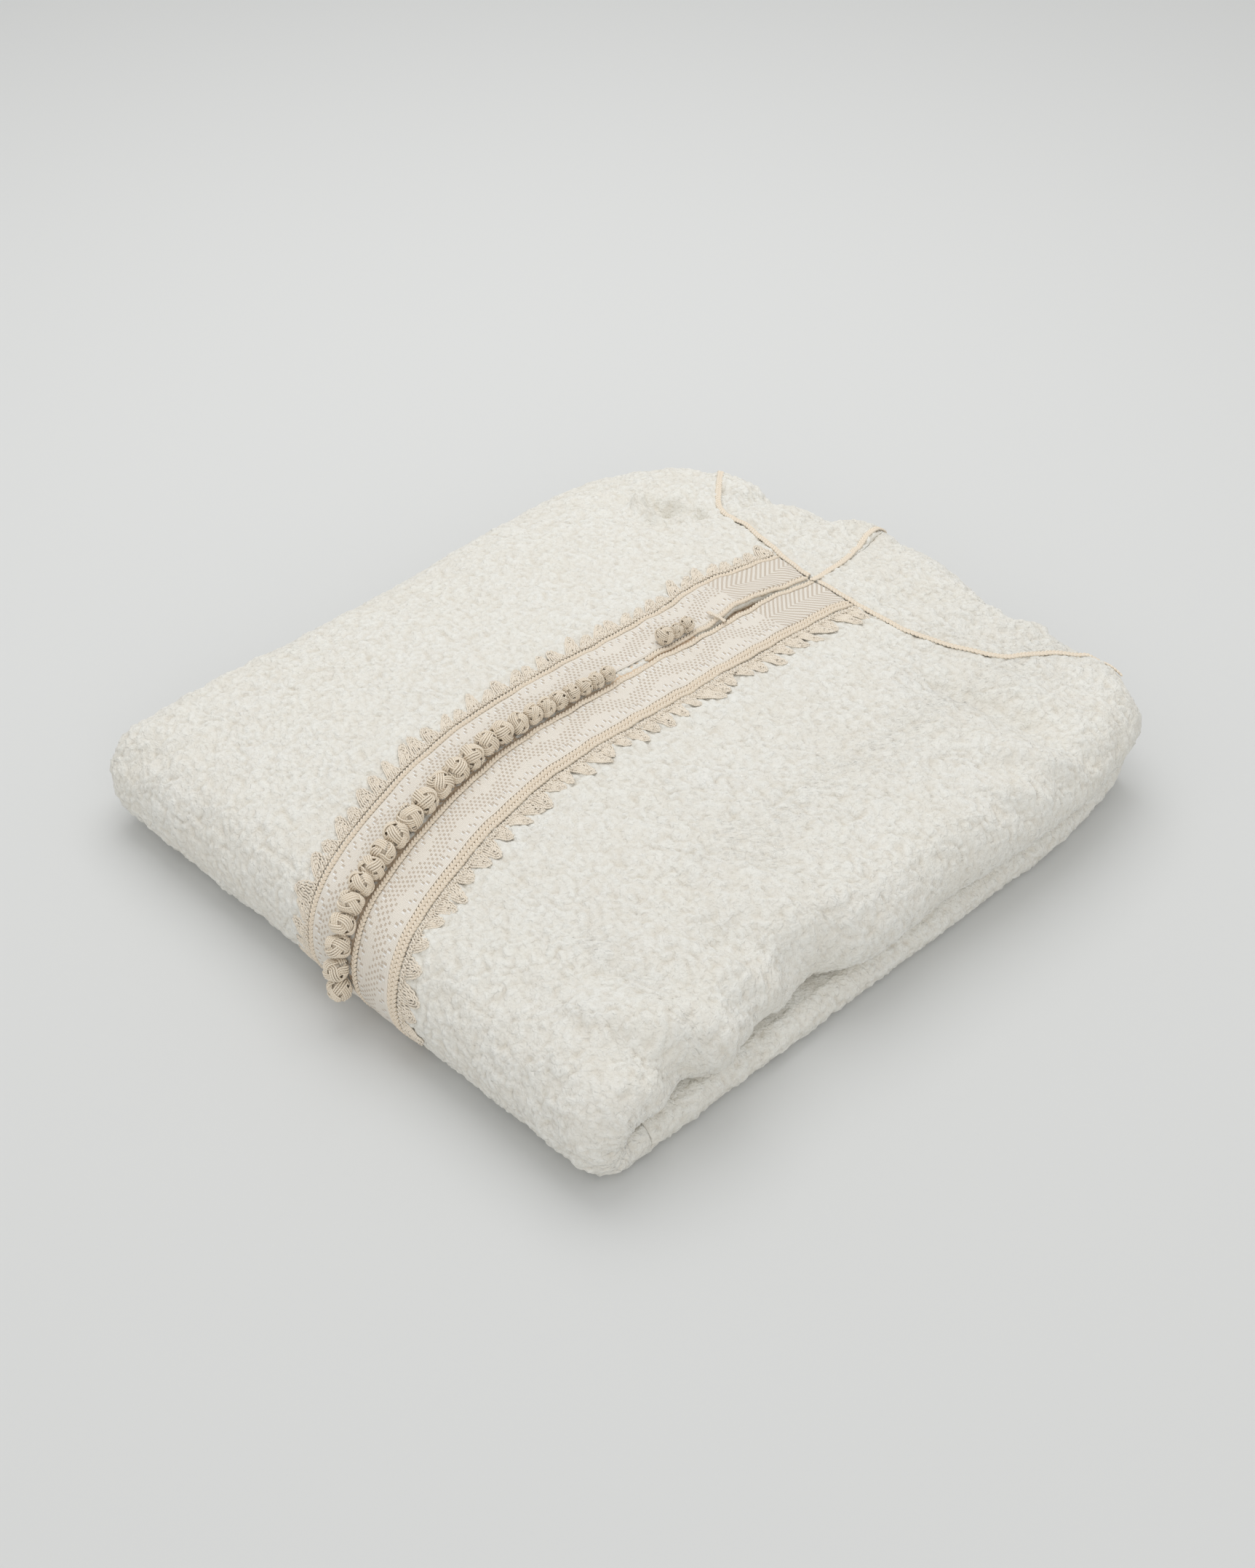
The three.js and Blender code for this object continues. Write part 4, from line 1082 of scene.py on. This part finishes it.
def plait(centres, normals, width, thick, stitch):
    """Plaited cord: two rows of slanting stitches that meet in the middle like an ear of wheat."""
    slant = math.radians(34)
    half_long, half_wide, half_high = 0.78 * stitch, 0.3 * width, 0.52 * thick  # of a stitch
    off_middle = 0.24 * width
    step = np.linalg.norm(np.diff(centres, axis=0), axis=1)
    travel = np.concatenate([[0], np.cumsum(step)])
    count = max(int(travel[-1] / stitch), 2)
    spots = (np.arange(count) + 0.5) / count * travel[-1]

    def along_cord(rows, at):
        return np.stack([np.interp(at, travel, rows[:, k]) for k in range(3)], -1)

    ball, ball_faces = ball_of_quads(2)
    x, y, z = ball.T[:, None, :, None]
    parts = []
    for row in (-1, 1):
        at = spots + (row * stitch / 4)
        centre = along_cord(centres, at)
        up = unit(along_cord(normals, at))
        way = unit(along_cord(centres, at + 0.5) - along_cord(centres, at - 0.5))
        aside = np.cross(way, up)
        long_way = unit(way * math.cos(slant) + aside * row * math.sin(slant))
        over = np.cross(up, long_way)
        middle = (centre + aside * row * off_middle)[:, None]
        points = middle + long_way[:, None] * x * half_long + over[:, None] * y * half_wide
        points = points + up[:, None] * z * half_high
        faces = ball_faces[None] + (np.arange(count) * len(ball))[:, None, None]
        uv = np.broadcast_to(np.stack([ball[:, 1] * 1.6, ball[:, 0] * 0.15], -1), (count, len(ball), 2))
        parts.append((points.reshape(-1, 3), faces.reshape(-1, 4), uv.reshape(-1, 2)))
    return joined(parts)


class ROBE_OT_plait_cords(bpy.types.Operator):
    """Plait the cords beside the braids and along the neck and hood seams"""

    bl_idname = "robe.plait_cords"
    bl_label = "Plait the cords"

    CROSSING = 5.0  # distance across at which the hood's cord meets the neck cord

    def execute(self, context):
        look = context.scene.robe_trims
        stitch = look.stitch * 1000
        cord = yarn("plaited cord", tuple(look.cord), tuple(look.cord_shade), 3)
        outer = BRAID["outer"] + GAP
        beside = (
            ("cord_right_inner", 1, INNER_CORD["right"], PLACKET_BOTTOM),
            ("cord_right_outer_a", 1, outer, PLACKET_BOTTOM),
            ("cord_right_outer_b", 1, outer + GAP + CORD["width"], PLACKET_BOTTOM),
            ("cord_left_inner", -1, INNER_CORD["left"], LEFT_CORD_START),
            ("cord_left_outer", -1, outer, PLACKET_BOTTOM),
        )
        for name, side, near, start in beside:
            v = np.linspace(0, 1, 400)
            across, along = beside_slit(side, near + CORD["width"] / 2, v, start)
            self.lay(name, across, along, CORD["width"], CORD["thick"], stitch, cord)
        width, thick, apart = 2 * NECK_CORD["radius"], NECK_CORD["thick"], NECK_CORD["crossing"]
        neck = float(curve(NECK_SEAM, self.CROSSING))
        seam = float(curve(HOOD_SEAM, neck))
        for name, low, high in (
            ("neck_cord_right", seam + apart, NECK_CORD["right"]),
            ("neck_cord_left", NECK_CORD["left"], seam - apart),
        ):
            across = np.linspace(low, high, 300)
            self.lay(name, across, curve(NECK_SEAM, across) + GAP / 2, width, thick, stitch, cord)
        along = np.linspace(neck - NECK_CORD["radius"], HOOD_CORD_END, 200)
        self.lay("hood_cord", curve(HOOD_SEAM, along), along, width, thick, stitch, cord)
        return {"FINISHED"}

    @staticmethod
    def lay(name, across, along, width, thick, stitch, material):
        """Lays one plaited cord on the cloth."""
        centres = on_sheet(across, along, 0.2 + thick / 2)
        points, faces, uv = plait(centres, sheet_normal(across, along), width, thick, stitch)
        piece(f"{name}_dressed", points, faces, uv, material, [name])


class ROBE_OT_loop_trims(bpy.types.Operator):
    """Loop the scalloped trims: nested arches of twisted thread"""

    bl_idname = "robe.loop_trims"
    bl_label = "Loop the trims"

    # Nested arches of one scallop: half width, how far out they reach and how high they lie.
    ARCHES = ((3.3, 8.8, 0.0), (2.3, 7.9, 0.2), (1.4, 6.6, 0.3), (0.6, 4.8, 0.4))
    ZIGZAG_MIDDLE, ZIGZAG_REACH, ZIGZAG_TURNS = 1.7, 1.0, 4  # the turns are for each scallop
    ARCH_START = 2.0  # distance from the cord to the foot of the arches

    def execute(self, context):
        look = context.scene.robe_trims
        radius = look.thread * 1000
        loops = yarn("looped thread", tuple(look.loop), tuple(look.loop_shade), 2)
        count = int(TRIM["length"] / TRIM["pitch"])
        for name, side in (("trim_left", -1), ("trim_right", 1)):
            near = TRIM["inner"] - (0.0 if side > 0 else CORD["width"] + GAP)
            parts = [self.arch(side, near, count, radius, *arch) for arch in self.ARCHES]
            parts += [self.zigzag(side, near, count, radius, *row) for row in ((0.0, 1.2), (math.pi, 2.2))]
            points, faces, uv = joined(parts)
            piece(f"{name}_dressed", points, faces, uv, loops, [name])
        return {"FINISHED"}

    def arch(self, side, near, count, radius, half, out, lift):
        """The same arch of every scallop, each with a size, a slant and a point of its own."""
        index = np.arange(count)
        chances = [scatter(index, np.full(count, side), salt)[:, None] for salt in range(5, 10)]
        point, flat, size, slant, rise = chances
        angle = math.pi * np.linspace(0, 1, 30)[None, :]
        crimp = 0.3 * np.sin(angle * out * 2.1 + index[:, None] * 1.7)
        sway = -half * np.cos(angle) * (1 - 0.25 * flat * np.sin(angle)) + crimp * 0.5
        reach = out * np.sin(angle) ** (1.0 + 0.9 * point) * (0.62 + 0.5 * size) + crimp
        away = near + self.ARCH_START + np.maximum(reach, 0)
        shift = (sway + (slant - 0.2) * reach * 0.7) / TRIM["length"]
        across, along = beside_slit(side, away, ((index + 0.5) / count)[:, None] + shift)
        height = 0.1 + radius + lift + 0.4 * np.sin(angle) * rise + 0.15 * np.cos(angle * 9)
        return self.thread(across, along, height, radius)

    def zigzag(self, side, near, count, radius, turn, lift):
        """Thread that runs to and fro over the feet of the arches."""
        v = np.linspace(0, 1, 700)[None, :]
        swing = np.sin(v * count * self.ZIGZAG_TURNS * 2 * math.pi + turn)
        across, along = beside_slit(side, near + self.ZIGZAG_MIDDLE + self.ZIGZAG_REACH * swing, v)
        return self.thread(across, along, GAP + radius * lift, radius)

    @staticmethod
    def thread(across, along, height, radius):
        """Two-ply thread through rows of places."""
        centres = on_sheet(across, along, height)
        return tubes(centres, sheet_normal(across, along), radius, 5, lobes=2, lay=1.5)


class ROBE_OT_tie_knots(bpy.types.Operator):
    """Tie the knot buttons: a woven ball of four threads that run side by side"""

    bl_idname = "robe.tie_knots"
    bl_label = "Tie the knots"

    LEADS, BIGHTS = 3, 4  # turns of the thread and scallops at each end of the ball
    STRANDS = (-0.3, -0.1, 0.1, 0.3)  # places of the threads beside each other, for a ball of radius 1
    THREAD = 0.049  # radius of a thread, for a ball of width 1
    CORE = 0.82  # size of the core, for a ball of 1
    STEEPEST = math.radians(58)  # how far up the ball the threads go

    def execute(self, context):
        look = context.scene.robe_trims
        thread = yarn("knotted thread", tuple(look.knot), tuple(look.knot_shade), 3)
        alongs = np.array(KNOT_ROW, float)
        widths = curve((KNOT_ALONG, KNOT_WIDTH), alongs)
        shifts = curve((KNOT_ALONG, KNOT_SHIFT), alongs)
        centres = np.stack([self.seat(*each)[0] for each in zip(alongs, shifts, widths)])
        room = np.linalg.norm(np.diff(centres, axis=0), axis=1) - GAP
        lengths = np.minimum(widths, np.minimum([*room, np.inf], [np.inf, *room]))
        knots = [*zip(alongs, shifts, widths, lengths)]
        knots += [(along, shift, width, width) for along, shift, width in LOOSE_KNOTS]
        for number, (along, shift, width, length) in enumerate(knots, 1):
            self.tie(number, along, shift, (width, length, width), thread)
        return {"FINISHED"}

    @staticmethod
    def seat(along, shift, width):
        """Centre of a knot and its three directions: aside, on down the row, and up."""
        across = slit_at(along) - shift
        up = sheet_normal(across, along)
        after, before = (on_sheet(slit_at(at) - shift, at) for at in (along + 1, along - 1))
        ahead = after - before
        way = unit(ahead - up * (ahead * up).sum())
        centre = on_sheet(across, along, 2 * GAP + BRAID["thick"] + width / 2)
        return centre, np.stack([np.cross(way, up), way, up])

    def tie(self, number, along, shift, size, material):
        """Ties one knot: the threads' round, a turn of its own, and the core inside."""
        t = np.linspace(0, 2 * math.pi * self.LEADS, 102, endpoint=False)
        swing = self.BIGHTS / self.LEADS * t
        rise = self.STEEPEST * np.cos(swing)
        over_under = 1 + 0.1 * np.sin(2 * swing)
        centre_line = np.stack([np.cos(rise) * np.cos(t), np.cos(rise) * np.sin(t), np.sin(rise)], -1)
        way = unit(np.roll(centre_line, -1, 0) - np.roll(centre_line, 1, 0))
        beside = np.cross(centre_line, way)
        strands = np.stack(
            [unit(centre_line + beside * place) * over_under[:, None] for place in self.STRANDS]
        )
        turn = Euler(2.4 * scatter(np.full(3, number), np.arange(3), 9) - 0.8)
        spun = strands @ np.array(turn.to_matrix()).T
        squareness = (np.abs(unit(spun)) ** 3).sum(-1, keepdims=True) ** (1 / 3)
        spun = spun * (0.96 / squareness)
        ball, ball_faces = ball_of_quads(4)
        centre, axes = self.seat(along, shift, size[0])
        radius = self.THREAD * size[0]
        half = np.array(size) / 2 - radius * 0.4
        places = centre + (spun * half) @ axes
        core = centre + (ball * half * self.CORE) @ axes
        points, faces, uv = joined([
            tubes(places, unit(places - centre), radius, 5, round_path=True),
            (core, ball_faces, ball[:, :2] * 3),
        ])
        piece(f"knot_{number:02d}_dressed", points, faces, uv, material, [f"knot_{number:02d}"])


class ROBE_OT_sew_slit(bpy.types.Operator):
    """Sew the thread bar across the slit, and lay strips of painted shade in its opening and along its
    right edge
    """

    bl_idname = "robe.sew_slit"
    bl_label = "Sew the slit"

    BAR_ALONG, BAR_ACROSS, BAR_RADIUS = 46.0, (-7.0, 3.2), 0.5
    BAR_HEIGHT = 2 * GAP + CORD["thick"] + 0.7
    EDGE_ACROSS, EDGE_SHARE = (-2.6, 1.3), 0.78  # strip of painted shadow inside the slit's right edge
    FACING_ACROSS, FACING_ALONG = (-7.5, 3.5), (34, 90)
    OPENING_SHADE_DEPTH = 3.2

    def execute(self, context):
        look = context.scene.robe_trims
        cord = yarn("bar thread", tuple(look.cord), tuple(look.cord_shade), 2)
        t = np.linspace(0, 1, 40)
        sway = np.stack([0.25 * np.sin(t * 9), -0.25 * np.sin(t * 9)])
        across = slit_at(self.BAR_ALONG) + mix(*self.BAR_ACROSS, t)
        along = self.BAR_ALONG + sway * 1.6
        centres = on_sheet(across, along, self.BAR_HEIGHT)
        up = sheet_normal(across, along)
        points, faces, uv = tubes(centres, up, self.BAR_RADIUS, 6, lobes=2, lay=1.4)
        piece("thread_bar_dressed", points, faces, uv, cord, ["thread_bar"])

        # Painted shade: warm cloth laid in the slit's opening and along its right edge stands for the shade
        # there.
        painted_shade_cloth = curly_cloth("slit facing", tuple(look.painted_shade_cloth), tuple(look.slit_crevice_shade))
        near, far = self.EDGE_ACROSS
        v, away = np.meshgrid(np.linspace(0, 1, 260), np.linspace(near, far, 9), indexing="ij")
        across, along = beside_slit(1, away, mix(0.0, self.EDGE_SHARE, v))
        hollow = 0.35 - 0.25 * np.sin(math.pi * (away - near) / (far - near))
        height = hollow + 0.1 * np.sin(along * 2.1)
        pile = knobs(across, along, 1.2, 3)
        self.painted_shade_strip("slit_edge_painted_shadow", across, along, height, (away, along), painted_shade_cloth, pile)

        (left, right), (low, high) = self.FACING_ACROSS, self.FACING_ALONG
        along, away = np.meshgrid(np.linspace(low, high, 90), np.linspace(left, right, 20), indexing="ij")
        crinkle = 0.5 * np.sin(along * 1.9 + away) * np.sin(along * 0.7)
        across, height = slit_at(along) + away, crinkle - self.OPENING_SHADE_DEPTH
        pile = knobs(along, away, 1.6, 3)
        made = self.painted_shade_strip("slit_opening_painted_shade", across, along, height, (away, along), painted_shade_cloth, pile)
        return {"FINISHED"}

    @staticmethod
    def painted_shade_strip(name, across, along, height, uv, material, pile):
        """One strip of painted shade in the slit, which stands for no solid of its own."""
        points, faces = on_sheet(across, along, height), grid_quads(*across.shape)
        return piece(name, points, faces, np.stack(uv, -1), material, pile=pile)


# ---- Stage --------------------------------------------------------------------------------------


class ROBE_OT_set_stage(bpy.types.Operator):
    """Set the floor, the lights and the camera"""

    bl_idname = "robe.set_stage"
    bl_label = "Set the stage"

    FLOOR_HALF_WIDTH = 4.0
    # Place, turn and size of each lamp, and its share of the power that is set.
    LAMPS = (
        ("top light", (-0.34, 0.26, 1.05), (-0.24, -0.3, 0), 1.0, 1.15),
        ("side light", (1.5, -1.2, 0.9), (1.1, 0.0, 0.9), 1.4, 1.45),
    )

    def execute(self, context):
        stage, scene = context.scene.robe_stage, context.scene
        half = self.FLOOR_HALF_WIDTH
        corners = [(-half, -half, 0), (half, -half, 0), (half, half, 0), (-half, half, 0)]
        mesh = bpy.data.meshes.new("floor")
        mesh.from_pydata(corners, [], [(0, 1, 2, 3)])
        mesh.materials.append(plain_floor("pale floor", tuple(stage.floor)))
        floor = bpy.data.objects.new("floor", mesh)
        context.collection.objects.link(floor)

        camera = bpy.data.objects.new("camera", bpy.data.cameras.new("camera"))
        camera.location, camera.rotation_euler = stage.camera_place, stage.camera_turn
        camera.data.lens = stage.lens
        context.collection.objects.link(camera)
        scene.camera = camera

        world = bpy.data.worlds.new("room")
        world.use_nodes = True
        sky = world.node_tree.nodes["Background"]
        sky.inputs["Color"].default_value = (1.0, 1.0, 0.995, 1)
        sky.inputs["Strength"].default_value = stage.sky
        scene.world = world
        for name, place, turn, size, share in self.LAMPS:
            lamp = bpy.data.lights.new(name, "AREA")
            lamp.size, lamp.energy = size, stage.lamp * share
            light = bpy.data.objects.new(name, lamp)
            light.location, light.rotation_euler = place, turn
            context.collection.objects.link(light)
        scene.view_settings.view_transform = "Standard"
        return {"FINISHED"}


# ---- Panel and registration ---------------------------------------------------------------------

OPERATORS = (
    ROBE_OT_sew_cloth,
    ROBE_OT_fold_layers,
    ROBE_OT_weave_braids,
    ROBE_OT_plait_cords,
    ROBE_OT_loop_trims,
    ROBE_OT_tie_knots,
    ROBE_OT_sew_slit,
    ROBE_OT_set_stage,
)


class ROBE_PT_robe(bpy.types.Panel):
    """Settings of the robe, and a button for each group of pieces"""

    bl_label = "Folded robe"
    bl_idname = "ROBE_PT_robe"
    bl_space_type = "VIEW_3D"
    bl_region_type = "UI"
    bl_category = "Robe"

    def draw(self, context):
        for group in (context.scene.robe_cloth, context.scene.robe_trims, context.scene.robe_stage):
            box = self.layout.box()
            for name in group.__annotations__:
                box.prop(group, name)
        for operator in OPERATORS:
            self.layout.operator(operator.bl_idname)


GROUPS = {"robe_cloth": RobeCloth, "robe_trims": RobeTrims, "robe_stage": RobeStage}


def register():
    """Adds the settings, the operators and the panel."""
    for each in (*GROUPS.values(), *OPERATORS, ROBE_PT_robe):
        bpy.utils.register_class(each)
    for name, group in GROUPS.items():
        setattr(bpy.types.Scene, name, bpy.props.PointerProperty(type=group))


def unregister():
    """Takes them away again."""
    for name in GROUPS:
        delattr(bpy.types.Scene, name)
    for each in reversed((*GROUPS.values(), *OPERATORS, ROBE_PT_robe)):
        bpy.utils.unregister_class(each)


def main():
    """Builds everything."""
    register()
    for operator in OPERATORS:
        getattr(bpy.ops.robe, operator.bl_idname.split(".")[1])()


if __name__ == "__main__":
    main()
